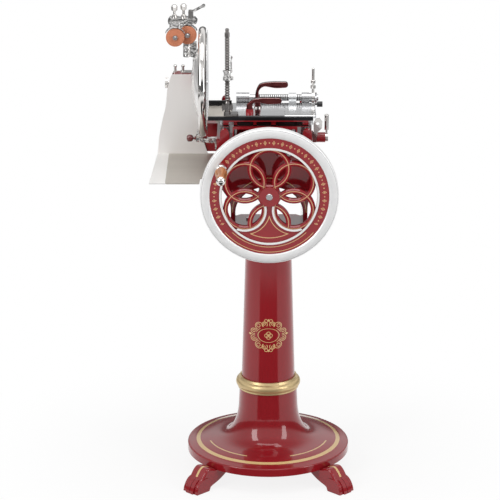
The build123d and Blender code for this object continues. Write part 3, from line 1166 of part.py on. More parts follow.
for name, (x, z, y) in STONES.items():
    with BuildPart() as spindle:
        with BuildSketch(side(x, z=z)):
            with BuildLine():
                Polyline((HEAD_FRONT + HEAD_T + 6, 0), (HEAD_FRONT + HEAD_T + 6, SPINDLE_R),
                         (y - STONE_T / 2 - 6, SPINDLE_R), (y - STONE_T / 2 - 8, SPINDLE_R - 1.5),
                         (y - STONE_T / 2 - 8, 0), close=True)
            make_face()
        revolve(axis=Axis((AXIS_X + x, AXIS_Y, z), (0, 1, 0)))
        with BuildSketch(front(y + STONE_T / 2 + 4, x=x, z=z)):
            Circle(9)
        extrude(amount=4)
        with BuildSketch(front(y - STONE_T / 2, x=x, z=z)):
            RegularPolygon(8, 6)
        extrude(amount=5)
    keep(spindle.part, f"stone_spindle_{name}")
    with BuildPart() as stone:
        with BuildSketch(front(y + STONE_T / 2, x=x, z=z)):
            Circle(STONE_R)
            Circle(SPINDLE_R, mode=Mode.SUBTRACT)
        extrude(amount=STONE_T)
        chamfer(stone.edges().filter_by(GeomType.CIRCLE).sort_by(SortBy.RADIUS)[-2:], 1.2)
    keep(stone.part, f"sharpening_stone_{name}")

with BuildPart() as head_knobs:
    for x, top in ((-288.0, HEAD_BAR + 57), (-260.0, HEAD_BAR + 60)):
        foot_z = HEAD_FLAT
        with BuildSketch(front(TUBE_Y)):
            with BuildLine():
                Polyline((x, foot_z), (x + 8, foot_z), (x + 8, foot_z + 8), (x + 4, foot_z + 10),
                         (x + 4, top - 20), (x + 9, top - 16), (x + 10, top - 5), (x + 6, top), (x, top),
                         close=True)
            make_face()
        revolve(axis=Axis((AXIS_X + x, AXIS_Y + TUBE_Y, 0), (0, 0, 1)))
keep(head_knobs.part, "head_knobs")

LEVER_X = -238.0
LEVER_Z = HEAD_BAR + 34
with BuildPart() as sharpener_lever:
    with BuildSketch(front(TUBE_Y + 4, x=LEVER_X, z=LEVER_Z)):
        Circle(8)
        with Locations(Rot(0, 0, 28) * Pos(22, 0)):
            SlotOverall(52, 7)
        Circle(3, mode=Mode.SUBTRACT)
    extrude(amount=8)
    tip_x = LEVER_X + 44 * cos(radians(28))
    tip_z = LEVER_Z + 44 * sin(radians(28))
    with BuildSketch(front(TUBE_Y + 6, x=tip_x, z=tip_z)):
        Circle(5)
    extrude(amount=12)
keep(sharpener_lever.part, "sharpener_lever")

with BuildPart() as lever_fork:
    with BuildSketch(front(TUBE_Y + 12)):
        with BuildLine():
            Polyline((LEVER_X - 8, HEAD_FLAT), (LEVER_X + 8, HEAD_FLAT), (LEVER_X + 7, LEVER_Z + 6),
                     (LEVER_X - 7, LEVER_Z + 6), close=True)
        make_face()
    extrude(amount=24)
    with BuildSketch(front(TUBE_Y + 4 + SEAT, x=LEVER_X, z=LEVER_Z)):
        Circle(9)
        with Locations((0, 10)):
            Rectangle(80, 20)
    extrude(amount=8 + 2 * SEAT, mode=Mode.SUBTRACT)
    with BuildSketch(front(TUBE_Y + 14, x=LEVER_X, z=LEVER_Z)):
        Circle(3 - FIT)
    extrude(amount=28)
keep(lever_fork.part, "lever_fork")

# ---- thickness regulator on the right cheek --------------------------------------------
REG_Y = -60.0
REG_Z = 1097.0
REG_R = 15.5
REG_END = 172.0
with BuildPart() as regulator_boss:
    with BuildSketch(side(FRAME_RIGHT, y=REG_Y, z=REG_Z)):
        Circle(REG_R)
    extrude(amount=REG_END - FRAME_RIGHT)
    with BuildSketch(side(FRAME_RIGHT, y=REG_Y, z=REG_Z)):
        Circle(REG_R + 5)
    extrude(amount=5)
    with BuildSketch(side(REG_END - 20, y=REG_Y, z=REG_Z)):
        Circle(5 + FIT)
    extrude(amount=20, mode=Mode.SUBTRACT)
keep(regulator_boss.part, "regulator_boss")

with BuildPart() as regulator_lever:
    with BuildSketch(side(REG_END - 20, y=REG_Y, z=REG_Z)):
        Circle(5)
    extrude(amount=24)
    with BuildSketch(side(REG_END + SEAT, y=REG_Y, z=REG_Z)):
        Circle(13)
    extrude(amount=8)
    with BuildSketch(level(REG_Z + 10, x=REG_END + 4, y=REG_Y)):
        Circle(3)
    extrude(amount=50)
    with BuildSketch(level(REG_Z + 24, x=REG_END + 4, y=REG_Y)):
        Circle(6.5)
    extrude(amount=48)
    fillet(regulator_lever.faces().sort_by(Axis.Z)[-1].edges(), 2)
keep(regulator_lever.part, "regulator_lever")

with BuildPart() as regulator_dial:
    with BuildSketch(front(REG_Y - REG_R - 5.5)):
        with BuildLine():
            Polyline((FRAME_RIGHT, REG_Z - 10), (FRAME_RIGHT, REG_Z + 20), (FRAME_RIGHT + 6, REG_Z + 22),
                     (FRAME_RIGHT + 5, REG_Z + 50), (FRAME_RIGHT + 12, REG_Z + 64),
                     (FRAME_RIGHT + 24, REG_Z + 66), (FRAME_RIGHT + 32, REG_Z + 54),
                     (FRAME_RIGHT + 31, REG_Z + 34), (FRAME_RIGHT + 18, REG_Z + 22),
                     (FRAME_RIGHT + 14, REG_Z - 10), close=True)
        make_face()
        with Locations((FRAME_RIGHT + 18, REG_Z + 48)):
            Circle(5, mode=Mode.SUBTRACT)
    extrude(amount=4)
keep(regulator_dial.part, "regulator_dial")

# ---- knurled knob that clamps the plate, on the arm's left flank -----------------------
with BuildPart() as plate_knob:
    with BuildSketch(side(KNOB_SEAT - 15, y=KNOB_Y, z=KNOB_Z)):
        Circle(17)
        with PolarLocations(17.3, 30):
            Circle(1, mode=Mode.SUBTRACT)
    extrude(amount=10)
    with BuildSketch(side(KNOB_SEAT - 15, y=KNOB_Y, z=KNOB_Z)):
        Circle(6)
    extrude(amount=15)
keep(plate_knob.part, "plate_knob")
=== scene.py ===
from math import cos, pi, radians, sin, tau

import bpy
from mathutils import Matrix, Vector


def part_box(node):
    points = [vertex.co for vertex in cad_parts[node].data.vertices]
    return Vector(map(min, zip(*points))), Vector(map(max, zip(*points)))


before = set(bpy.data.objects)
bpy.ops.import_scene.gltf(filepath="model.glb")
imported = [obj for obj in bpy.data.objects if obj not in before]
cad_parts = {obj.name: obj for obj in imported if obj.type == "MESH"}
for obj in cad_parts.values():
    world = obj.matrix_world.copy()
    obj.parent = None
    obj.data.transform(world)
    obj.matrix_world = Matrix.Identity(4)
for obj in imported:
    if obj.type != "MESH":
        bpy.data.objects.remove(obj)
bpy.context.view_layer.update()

# Camera. The slicer is seen square-on from the operator's side, from a little above, through
# a long lens. All finishes measure from the upright axis of the pedestal.
column_low, column_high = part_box("pedestal_column")
AXIS = (column_low + column_high) / 2
AXIS.z = 0
TILT = radians(17.0)
FROM_AXIS = Vector((-0.0579, -6.8844, 2.8228))
camera_data = bpy.data.cameras.new("studio_camera")
camera_data.lens = 165.6
camera_data.sensor_width = 36
camera = bpy.data.objects.new("studio_camera", camera_data)
camera.location = AXIS + FROM_AXIS
camera.rotation_euler = (pi / 2 - TILT, 0, 0)
bpy.context.collection.objects.link(camera)
bpy.context.scene.camera = camera
bpy.context.scene.view_settings.view_transform = "Standard"


class Signal:
    """One output socket of a finish, used in sums like a number."""

    def __init__(self, tree, socket):
        self.tree = tree
        self.socket = socket

    def maths(self, operation, *others):
        node = self.tree.nodes.new("ShaderNodeMath")
        node.operation = operation
        for slot, value in zip(node.inputs, (self, *others)):
            if isinstance(value, Signal):
                self.tree.links.new(value.socket, slot)
            else:
                slot.default_value = value
        return Signal(self.tree, node.outputs[0])

    def __add__(self, other):
        return self.maths("ADD", other)

    __radd__ = __add__

    def __sub__(self, other):
        return self.maths("SUBTRACT", other)

    def __rsub__(self, other):
        return self.maths("MULTIPLY", -1.0) + other

    def __mul__(self, other):
        return self.maths("MULTIPLY", other)

    __rmul__ = __mul__

    def __truediv__(self, other):
        return self.maths("DIVIDE", other)

    def __pow__(self, other):
        return self.maths("POWER", other)

    def __gt__(self, other):
        return self.maths("GREATER_THAN", other)

    def __lt__(self, other):
        return self.maths("LESS_THAN", other)

    def __abs__(self):
        return self.maths("ABSOLUTE")

    def near(self, centre, half_width):
        return self.maths("COMPARE", centre, half_width)

    def ramp(self, start, end):
        """0 up to start, 1 from end on, and a soft step between."""
        node = self.tree.nodes.new("ShaderNodeMapRange")
        node.interpolation_type = "SMOOTHSTEP"
        self.tree.links.new(self.socket, node.inputs[0])
        node.inputs[1].default_value = start
        node.inputs[2].default_value = end
        return Signal(self.tree, node.outputs[0])

    def either(self, other):
        return self.maths("MAXIMUM", other)


class Finish:
    """A material and the nodes that make it."""

    def __init__(self, name, **settings):
        self.material = bpy.data.materials.new(name)
        self.material.use_nodes = True
        self.tree = self.material.node_tree
        self.shader = self.tree.nodes["Principled BSDF"]
        self.set(**settings)

    def set(self, **settings):
        for name, value in settings.items():
            socket = self.shader.inputs[name.replace("_", " ")]
            if isinstance(value, Signal):
                self.tree.links.new(value.socket, socket)
            elif isinstance(value, tuple):
                socket.default_value = (*value, 1)
            else:
                socket.default_value = value

    def node(self, kind, settings=None, output=0, **sockets):
        made = self.tree.nodes.new("ShaderNode" + kind)
        for name, value in (settings or {}).items():
            if name == "stops":
                ramp = made.color_ramp
                while len(ramp.elements) < len(value):
                    ramp.elements.new(0.5)
                for element, (place, colour) in zip(ramp.elements, value):
                    element.position = place
                    element.color = (*colour, 1)
            else:
                setattr(made, name, value)
        for name, value in sockets.items():
            key = name.replace("_", " ")
            socket = [s for s in made.inputs if s.name == key and s.enabled][0]
            if isinstance(value, Signal):
                self.tree.links.new(value.socket, socket)
            elif isinstance(value, tuple) and socket.type == "RGBA":
                socket.default_value = (*value, 1)
            else:
                socket.default_value = value
        return Signal(self.tree, made.outputs[output])

    def place(self):
        """Signals X, Y and Z of a point of the piece, in metres from the pedestal's axis."""
        where = self.node("TexCoord", output=3)
        split = self.node("SeparateXYZ", Vector=where).socket.node
        x, y, z = (Signal(self.tree, out) for out in split.outputs)
        return x - AXIS.x, y - AXIS.y, z

    def facing(self, output):
        """One part of the surface's own normal: 0 is X, 1 is Y, 2 is Z."""
        normal = self.node("NewGeometry", output=1)
        return self.node("SeparateXYZ", output=output, Vector=normal)

    def mix(self, mask, first, second):
        made = self.tree.nodes.new("ShaderNodeMix")
        made.data_type = "RGBA"
        for value, slot in ((mask, 0), (first, 6), (second, 7)):
            if isinstance(value, Signal):
                self.tree.links.new(value.socket, made.inputs[slot])
            else:
                made.inputs[slot].default_value = (*value, 1)
        return Signal(self.tree, made.outputs[2])

    def noise(self, scale, detail=3.0, roughness=0.5, stretch=(1, 1, 1)):
        where = self.node("TexCoord", output=3)
        sized = self.node("Mapping", Vector=where, Scale=stretch)
        return self.node("TexNoise", Vector=sized, Scale=scale, Detail=detail, Roughness=roughness)

    def bumps(self, height, distance, strength=1.0):
        return self.node("Bump", Height=height, Distance=distance, Strength=strength)


def distance(a, b):
    return (a ** 2 + b ** 2) ** 0.5


def wear(piece, finish):
    """Give a piece its finish."""
    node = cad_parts[piece] if isinstance(piece, str) else piece
    node.data.materials.clear()
    node.data.materials.append(finish.material)


# Studio floor. A wide matt white sheet. It glows white to the camera, most of all beyond the
# slicer's shadow. To gloss it also glows, but shows a dark sector in front of the slicer and
# grey stripes far out, which the camera doesn't see.
FLOOR_HALF = 9.0
LEAST_GLOW = 0.86
SHADOW_FROM, SHADOW_TO = 0.35, 1.1
SECTOR_START = 0.3
SECTOR_SLOPES = (0.75, 0.95)
SECTOR_ENDS = (2.1, 3.0)
STRIPES_FROM, STRIPES_TO = 4.2, 4.5
corners = [(-FLOOR_HALF, -FLOOR_HALF, 0), (FLOOR_HALF, -FLOOR_HALF, 0),
           (FLOOR_HALF, FLOOR_HALF, 0), (-FLOOR_HALF, FLOOR_HALF, 0)]
floor_mesh = bpy.data.meshes.new("studio_floor")
floor_mesh.from_pydata(corners, [], [(0, 1, 2, 3)])
floor = bpy.data.objects.new("studio_floor", floor_mesh)
bpy.context.collection.objects.link(floor)
white_floor = Finish("white_floor", Base_Color=(0.88, 0.88, 0.88), Roughness=0.9)
floor_tree = white_floor.tree
floor_path = floor_tree.nodes.new("ShaderNodeLightPath")
glossy = Signal(floor_tree, floor_path.outputs["Is Glossy Ray"])
seen = glossy.either(Signal(floor_tree, floor_path.outputs["Is Camera Ray"]))
seen = seen.either(Signal(floor_tree, floor_path.outputs["Is Transmission Ray"]))
floor_x, floor_y, floor_z = white_floor.place()
spread = distance(floor_x, floor_y)
share = spread.ramp(SHADOW_FROM, SHADOW_TO) * (1 - LEAST_GLOW) + LEAST_GLOW
aside = abs(floor_x) / (abs(floor_y) + 0.01)
sector = (1 - aside.ramp(*SECTOR_SLOPES)) * (floor_y < -SECTOR_START)
dark_front = sector * (1 - spread.ramp(*SECTOR_ENDS)) * glossy
far_floor = spread.ramp(STRIPES_FROM, STRIPES_TO) * glossy
stripes = (floor_x * 1.9 + 0.5).maths("SINE").ramp(-0.3, 0.3)
far_tone = white_floor.mix(stripes, (0.16, 0.16, 0.16), (0.80, 0.80, 0.80))
floor_tone = white_floor.mix(far_floor, (1, 1, 1), far_tone)
glow = white_floor.node("Emission", Color=white_floor.mix(dark_front, floor_tone, (0.05, 0.05, 0.05)))
blend = floor_tree.nodes.new("ShaderNodeMixShader")
factor = seen * share.either(dark_front).either(far_floor)
floor_tree.links.new(factor.socket, blend.inputs[0])
floor_tree.links.new(white_floor.shader.outputs[0], blend.inputs[1])
floor_tree.links.new(glow.socket, blend.inputs[2])
floor_tree.links.new(blend.outputs[0], floor_tree.nodes["Material Output"].inputs[0])
wear(floor, white_floor)


# Studio room. It is white to the camera and lights the slicer softly. Gloss sees a pale
# ceiling over a darker band of walls, so that polished metal shows an edge.
SOFT_LIGHT = 0.45
WALL_TONE = 0.12
WALL_TOP = (0.16, 0.34)
CEILING_FADE = (0.55, 0.95)
world = bpy.data.worlds.new("studio_room")
bpy.context.scene.world = world
world.use_nodes = True
sky_tree = world.node_tree
soft_sky = sky_tree.nodes["Background"]
soft_sky.inputs[0].default_value = (1, 1, 1, 1)
soft_sky.inputs[1].default_value = SOFT_LIGHT
white_sky = sky_tree.nodes.new("ShaderNodeBackground")
white_sky.inputs[0].default_value = (1, 1, 1, 1)
sky_way = sky_tree.nodes.new("ShaderNodeTexCoord")
sky_split = sky_tree.nodes.new("ShaderNodeSeparateXYZ")
sky_tree.links.new(sky_way.outputs["Generated"], sky_split.inputs[0])
sky_up = Signal(sky_tree, sky_split.outputs[2])
sky_path = sky_tree.nodes.new("ShaderNodeLightPath")
to_camera = Signal(sky_tree, sky_path.outputs["Is Camera Ray"])
to_gloss = Signal(sky_tree, sky_path.outputs["Is Glossy Ray"])
ceiling = sky_up.ramp(*WALL_TOP) * (1 - sky_up.ramp(*CEILING_FADE) * 0.55)
room_tone = ceiling * (1 - WALL_TONE) + WALL_TONE
sky_tree.links.new(to_camera.either(room_tone).socket, white_sky.inputs[1])
sky_blend = sky_tree.nodes.new("ShaderNodeMixShader")
sky_tree.links.new(to_camera.either(to_gloss).socket, sky_blend.inputs[0])
sky_tree.links.new(soft_sky.outputs[0], sky_blend.inputs[1])
sky_tree.links.new(white_sky.outputs[0], sky_blend.inputs[2])
sky_tree.links.new(sky_blend.outputs[0], sky_tree.nodes["World Output"].inputs[0])


# Lamps. Three soft boxes light the slicer: a tall one at the left, a weaker one at the right
# and a broad one overhead.
def lamp(name, place, aim, width, height, power):
    data = bpy.data.lights.new(name, "AREA")
    data.shape = "RECTANGLE"
    data.size = width
    data.size_y = height
    data.energy = power
    made = bpy.data.objects.new(name, data)
    made.location = place
    made.rotation_euler = (Vector(aim) - Vector(place)).to_track_quat("-Z", "Y").to_euler()
    bpy.context.collection.objects.link(made)


lamp("key_left", (-2.6, -2.4, 2.6), (0, 0, 0.9), 1.2, 2.6, 60)
lamp("fill_right", (2.8, -1.8, 1.8), (0, 0, 0.9), 0.9, 2.4, 34)
lamp("top_soft", (0, -0.4, 3.4), (0, 0, 0.8), 2.2, 1.6, 36)


# Enamel. Every red casting is filled, rubbed down and sprayed with a deep red gloss, then
# lined by hand in gold. The coat shows a very slight orange peel.
RED = (0.235, 0.006, 0.010)
RED_PALE = (0.285, 0.010, 0.016)
GOLD = (0.62, 0.40, 0.16)
GOLD_PALE = (0.72, 0.52, 0.26)
# near black, painted as painted shade into dark slots and gaps
PAINTED_SHADE_BLACK = (0.012, 0.006, 0.006)
COAT = 0.9
SATIN = 0.28


def enamel(name, lining=None, painted_shade=None):
    coat = Finish(name, Roughness=SATIN, Specular_IOR_Level=0.1, Coat_Weight=COAT, Coat_Roughness=0.03)
    cloud = coat.noise(9.0, 2.0)
    red = coat.mix(cloud, RED, RED_PALE)
    peel = coat.noise(420.0, 2.0)
    coat.set(Normal=coat.bumps(peel, 0.00008, 0.35))
    if lining:
        gold = lining(coat)
        speck = coat.noise(900.0, 2.0)
        red = coat.mix(gold, red, coat.mix(speck, GOLD, GOLD_PALE))
        coat.set(Roughness=gold * 0.16 + SATIN)
    # painted shade: parts under the given mask are painted near black
    if painted_shade:
        red = coat.mix(painted_shade(coat), red, PAINTED_SHADE_BLACK)
    coat.set(Base_Color=red)
    return coat


# Pedestal base. A domed iron casting in red enamel, with a broad gold line near its edge
# and two fine arcs at the front, inside the broad line.
BROAD_RING_R = 0.223
BROAD_HALF = 0.0062
FINE_ARC_R = 0.190
FINE_HALF = 0.0021
ARC_END_SLOPE = -0.25
ARC_GAP_SLOPE = -2.6


def base_lining(coat):
    x, y, z = coat.place()
    far = distance(x, y)
    top = coat.facing(2) > 0.5
    slope = y / (abs(x) + 0.001)
    arcs = far.near(FINE_ARC_R, FINE_HALF) * (slope < ARC_END_SLOPE) * (slope > ARC_GAP_SLOPE)
    return (far.near(BROAD_RING_R, BROAD_HALF) + arcs) * top


wear("pedestal_base", enamel("base_enamel", base_lining))


# Column. A tapered iron tube in the same enamel, with a scroll frame painted in gold at its
# front. The frame is a plain ornament: an oval, curls about it and a small quatrefoil.
FRAME_Z = 0.462
OVAL_W, OVAL_H = 0.0330, 0.0225
OUTER_W, OUTER_H = 0.0400, 0.0290
BRUSH = 0.0010
FINE_BRUSH = 0.0009
CURLS = ((0.0290, 0.0300, 0.0120), (0.0120, 0.0360, 0.0085), (0.0455, 0.0110, 0.0090))
SMALL_RINGS = ((0.0315, 0.0315, 0.0055), (0.0130, 0.0375, 0.0035), (0.0455, 0.0120, 0.0038),
               (0.0075, 0.0475, 0.0050), (0.0, 0.0060, 0.0060), (0.0060, 0.0, 0.0060))


def scroll_frame(coat):
    x, y, z = coat.place()
    across = abs(x)
    up = abs(z - FRAME_Z)

    def ring(cx, cz, radius, half):
        return distance(across - cx, up - cz).near(radius, half)

    lines = distance(across / OVAL_W, up / OVAL_H).near(1.0, 0.030)
    outer = distance(across / OUTER_W, up / OUTER_H)
    lines = lines.either(outer.near(1.0, 0.020) * (up < OVAL_H) * (across < 0.0375))
    beyond = outer > 1.06
    for curl in CURLS:
        lines = lines.either(ring(*curl, BRUSH) * beyond)
    for small in SMALL_RINGS:
        lines = lines.either(ring(*small, FINE_BRUSH))
    tips = (across + abs(up - 0.0500)) < 0.0042
    tips = tips.either((abs(across - 0.0570) * 0.8 + up) < 0.0040)
    return lines.either(tips) * (y < 0)


wear("pedestal_column", enamel("column_enamel", scroll_frame))


# Collar. A turned brass ring, left satin, that hides the joint between the column and its
# base.
brass = Finish("satin_brass", Metallic=0.6)
tarnish = brass.noise(35.0, 4.0)
brass.set(Base_Color=brass.mix(tarnish, (0.56, 0.41, 0.20), (0.68, 0.53, 0.29)),
          Roughness=tarnish * 0.14 + 0.30)
wear("collar_ring", brass)


# Claw feet. Three cast iron paws in red enamel, seated under the edge of the base; a gold
# line is painted over the crest of each.
CREST_HALF = 0.004
CREST_FROM, CREST_TO = 0.262, 0.318
for number, angle in ((1, -135), (2, -45), (3, 90)):
    def crest_line(coat, turn=radians(angle)):
        x, y, z = coat.place()
        across = x * sin(turn) - y * cos(turn)
        outward = x * cos(turn) + y * sin(turn)
        up = coat.facing(2) > 0.15
        return across.near(0.0, CREST_HALF) * up * (outward > CREST_FROM) * (outward < CREST_TO)

    wear(f"claw_foot_{number}", enamel(f"claw_enamel_{number}", crest_line))


# Bed, frame and arm. The bed is a planed casting; the bridge above it carries the shafts.
# A gold line follows its arch at the front; the slot under its front ledge is painted shade in black.
ARCH_HALF = 0.102
ARCH_SPRING = 0.896
ARCH_RISE = 0.080
LINE_OUT = 0.028
FRAME_FACE = -0.19
SLOT_FACE = -0.178
SLOT_BOTTOM, SLOT_TOP = 1.1175, 1.1545
SLOT_LEFT, SLOT_RIGHT = -0.106, 0.080


def arch_lining(coat):
    x, y, z = coat.place()
    up = (z - ARCH_SPRING) / (ARCH_RISE + LINE_OUT)
    ring = distance(x / (ARCH_HALF + LINE_OUT * 0.35), up)
    front = coat.facing(1) < -0.5
    return ring.near(1.0, 0.011) * (z > ARCH_SPRING) * front * (y < FRAME_FACE)


# painted shade: the slot under the frame's front ledge is painted near black
def ledge_painted_shade(coat):
    x, y, z = coat.place()
    return (y < SLOT_FACE) * (z > SLOT_BOTTOM) * (z < SLOT_TOP) * (x > SLOT_LEFT) * (x < SLOT_RIGHT)


wear("bed_plate", enamel("bed_enamel"))
wear("machine_frame", enamel("frame_enamel", arch_lining, ledge_painted_shade))
for piece in ("rear_bridge", "blade_arm", "regulator_boss"):
    wear(piece, enamel(piece + "_enamel"))


# Carriage apron. A red iron cover along the front of the carriage. Its slots are sunk; their
# floors and a line along its lower edge are painted black as painted shade.
SLOT_FLOORS = (-0.1492, -0.1425)
EDGE_LINE_Z = 1.1560
EDGE_LINE_HALF = 0.0022


# painted shade: the slot floors and a line along the lower edge are painted near black
def apron_painted_shade(coat):
    x, y, z = coat.place()
    front = coat.facing(1) < -0.5
    sunk = (y > SLOT_FLOORS[0]) * (y < SLOT_FLOORS[1])
    return sunk.either(z.near(EDGE_LINE_Z, EDGE_LINE_HALF)) * front


wear("carriage_apron", enamel("apron_enamel", painted_shade=apron_painted_shade))


# Flywheel. One iron casting: a light satin rim, a red band, a light bead round the window,
# and six loops of rib lined in gold, with a filled field and two light strips at the bottom.
# The band carries plain lozenges and dots in gold.
wheel_low, wheel_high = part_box("flywheel")
WHEEL_Z = (wheel_low.z + wheel_high.z) / 2
WHEEL_FRONT = -0.262
RAISED_FACE = WHEEL_FRONT + 0.0018
RIM_IN = 0.180
RIM_EDGE_R = 0.2042
BEAD_IN, BEAD_OUT = 0.143, 0.151
HUB_R = 0.031
LOOP_R = 0.058
LOOP_CENTRE = 0.085
STRIP_IN, STRIP_OUT = 0.0585, 0.0665
STRIP_MARGIN = 0.0008
FIELD_LINE_R = 0.129
FIELD_LINE_OUT = STRIP_OUT + 0.0095
LINE = 0.0011
BAND_MIDDLE = 0.1655
BAND_LINES = (0.1575, 0.1735)
LOZENGE_STEP = radians(9.0)
LOZENGE_SLOPE = 1.55
LOZENGE_OUT, LOZENGE_IN = 0.0072, 0.0048
CRANK_R = 0.166
CRANK_ANGLE = radians(150)
CRANK_CLEAR = 0.026


def wheel_finish():
    coat = Finish("wheel_enamel", Coat_Roughness=0.03, Specular_IOR_Level=0.1)
    x, y, z = coat.place()
    up = z - WHEEL_Z
    side = abs(x)
    rho = distance(x, up)
    front = coat.facing(1) < -0.35
    gaps = {}
    for angle in (30, 90, 150, 210, 270, 330):
        a = radians(angle)
        gaps[angle] = distance(x - LOOP_CENTRE * cos(a), up - LOOP_CENTRE * sin(a))
    low = up < -0.030

    # the field between the two lowest loops, and its gold outline
    sides = (gaps[210] > STRIP_OUT) * (gaps[330] > STRIP_OUT)
    field = sides * (side < (up * -0.98)) * (rho < BEAD_IN) * low
    left_free = gaps[210] > FIELD_LINE_OUT
    right_free = gaps[330] > FIELD_LINE_OUT
    field_line = (gaps[210].near(FIELD_LINE_OUT, LINE) * right_free).either(
        gaps[330].near(FIELD_LINE_OUT, LINE) * left_free).either(
        rho.near(FIELD_LINE_R, LINE) * left_free * right_free)
    field_line = field_line * field * (rho < FIELD_LINE_R + LINE)

    # gold lines along the loops; the lowest loop shows only where its neighbours cross it
    ribs = gaps[270].near(LOOP_R, LINE * 0.75) * ((gaps[210] < STRIP_IN).either(gaps[330] < STRIP_IN))
    for angle in (30, 90, 150, 210, 330):
        ribs = ribs.either(gaps[angle].near(LOOP_R, LINE * 0.75))
    ribs = ribs * (rho < BEAD_IN) * (rho > HUB_R) * (1 - field)

    # two gold lines at the foot of the band, lozenges and dots round the rest of it
    band_line = rho.near(BAND_LINES[0], LINE * 0.8).either(rho.near(BAND_LINES[1], LINE * 0.8))
    band_line = band_line * (up < -0.112) * (rho > BEAD_OUT) * (rho < RIM_IN)
    turn = coat.node("Math", {"operation": "ARCTAN2"}, Value=up)
    coat.tree.links.new(x.socket, turn.socket.node.inputs[1])
    local = ((turn + tau) / LOZENGE_STEP).maths("FRACT") - 0.5
    along = abs(local) * LOZENGE_STEP * BAND_MIDDLE
    across = abs(rho - BAND_MIDDLE)
    reach = along * LOZENGE_SLOPE + across
    pattern = ((reach < LOZENGE_OUT) * (reach > LOZENGE_IN)).either(distance(along, across) < 0.0016)
    pattern = pattern.either(distance(LOZENGE_STEP * BAND_MIDDLE / 2 - along, across) < 0.0019)
    pattern = pattern * (up > -0.088) * (rho < RIM_IN - 0.002) * (rho > BEAD_OUT)
    crank_x = x - CRANK_R * cos(CRANK_ANGLE)
    crank_up = up - CRANK_R * sin(CRANK_ANGLE)
    pattern = pattern * (distance(crank_x, crank_up) > CRANK_CLEAR)
    gold = ribs.either(field_line).either(band_line).either(pattern) * front

    # light bead and strips on the raised face, and the rim
    bead = (rho > BEAD_IN + 0.0006) * (rho < BEAD_OUT - 0.0008)
    strips = ((gaps[210] > STRIP_IN + STRIP_MARGIN) * (gaps[210] < STRIP_OUT - STRIP_MARGIN)).either(
        (gaps[330] > STRIP_IN + STRIP_MARGIN) * (gaps[330] < STRIP_OUT - STRIP_MARGIN))
    strips = strips * low * (rho < BEAD_IN + 0.001) * (side < (up * -1.0 + 0.004))
    light = bead.either(strips) * (y < RAISED_FACE)
    rim = rho > RIM_IN - 0.0004

    cloud = coat.noise(9.0, 2.0)
    colour = coat.mix(gold, coat.mix(cloud, RED, RED_PALE), (0.66, 0.42, 0.20))
    colour = coat.mix(light, colour, (0.74, 0.74, 0.73))
    turned = coat.noise(60.0, 3.0, stretch=(1, 0.2, 1))
    colour = coat.mix(rim, colour, coat.mix(turned, (0.80, 0.80, 0.80), (0.90, 0.90, 0.90)))
    colour = coat.mix(rho.near(RIM_EDGE_R, 0.0004) * front, colour, (0.30, 0.30, 0.31))
    grooves = (rho * 5200.0).maths("SINE")
    peel = coat.noise(420.0, 2.0)
    height = peel * (1 - rim) + grooves * rim * 0.25
    coat.set(Base_Color=colour, Metallic=rim * 0.35, Roughness=rim * 0.16 + light * 0.08 + 0.26,
             Coat_Weight=COAT - rim * COAT, Normal=coat.bumps(height, 0.00008, 0.3))
    return coat


wear("flywheel", wheel_finish())


# Plated and ground steel. Small fittings are nickel plated and polished, and castings of the
# sharpener and guard are plated over a slightly uneven skin. Shafts are ground, bars black.
def steel(name, pale, dark, rough, grain=40.0, stretch=(1, 1, 1), strength=0.15, shine=1.0):
    metal = Finish(name, Metallic=shine)
    cloud = metal.noise(grain, 4.0, 0.6, stretch)
    metal.set(Base_Color=metal.mix(cloud, dark, pale), Roughness=cloud * rough + rough * 0.6,
              Normal=metal.bumps(cloud, 0.0002, strength))
    return metal


cast = steel("cast_nickel", (0.86, 0.85, 0.84), (0.60, 0.59, 0.58), 0.10, 55.0)
cast.set(Normal=cast.bumps(cast.noise(70.0, 2.0), 0.006, 0.7))
fittings = {
    steel("polished_nickel", (0.80, 0.78, 0.76), (0.66, 0.64, 0.62), 0.07): (
        "crank_pin", "grip_cap", "blade_guard", "plate_pins", "plate_knob", "guide_rods", "feed_lever",
        "head_knobs", "lever_fork", "regulator_lever", "regulator_dial"),
    cast: ("sharpener_bracket", "sharpener_head", "sharpener_lever", "guard_bracket", "press_slide"),
    steel("ground_steel", (0.62, 0.62, 0.63), (0.45, 0.45, 0.46), 0.24, 300.0): (
        "main_shaft", "drive_gear", "lay_shaft", "blade_shaft", "blade_screws", "carriage",
        "ratchet_wheel", "stone_spindle_left", "stone_spindle_right", "bed_bolts"),
    steel("blackened_steel", (0.05, 0.05, 0.055), (0.02, 0.02, 0.022), 0.30, 200.0): ("end_bars",),
    steel("cover_nickel", (0.86, 0.85, 0.84), (0.78, 0.77, 0.76), 0.16, shine=0.55): ("blade_cover",),
    steel("post_steel", (0.27, 0.255, 0.25), (0.16, 0.15, 0.145), 0.14, 200.0): ("press_post",),
    steel("plate_steel", (0.60, 0.56, 0.50), (0.50, 0.46, 0.41), 0.4, 60.0, (0.2, 1, 1), shine=0.4): (
        "end_plate",),
    steel("bush_bronze", (0.62, 0.42, 0.20), (0.48, 0.30, 0.13), 0.3, 120.0): ("shaft_bushes",),
}
for metal, pieces in fittings.items():
    for piece in pieces:
        wear(piece, metal)


# Press handles and their pillars. The two bent nickel handles carry a painted dark red reflection
# and a painted highlight on top. The front pillar is red enamel and the back one is plated.
# painted reflection: dark red tones painted on the handles' nickel
REFLECTION_DARK_RED = (0.05, 0.012, 0.012)
REFLECTION_PALE_RED = (0.15, 0.035, 0.035)
BETWEEN_PILLARS = -0.086
reflection_nickel = steel("painted_reflection_nickel", REFLECTION_PALE_RED, REFLECTION_DARK_RED, 0.08)
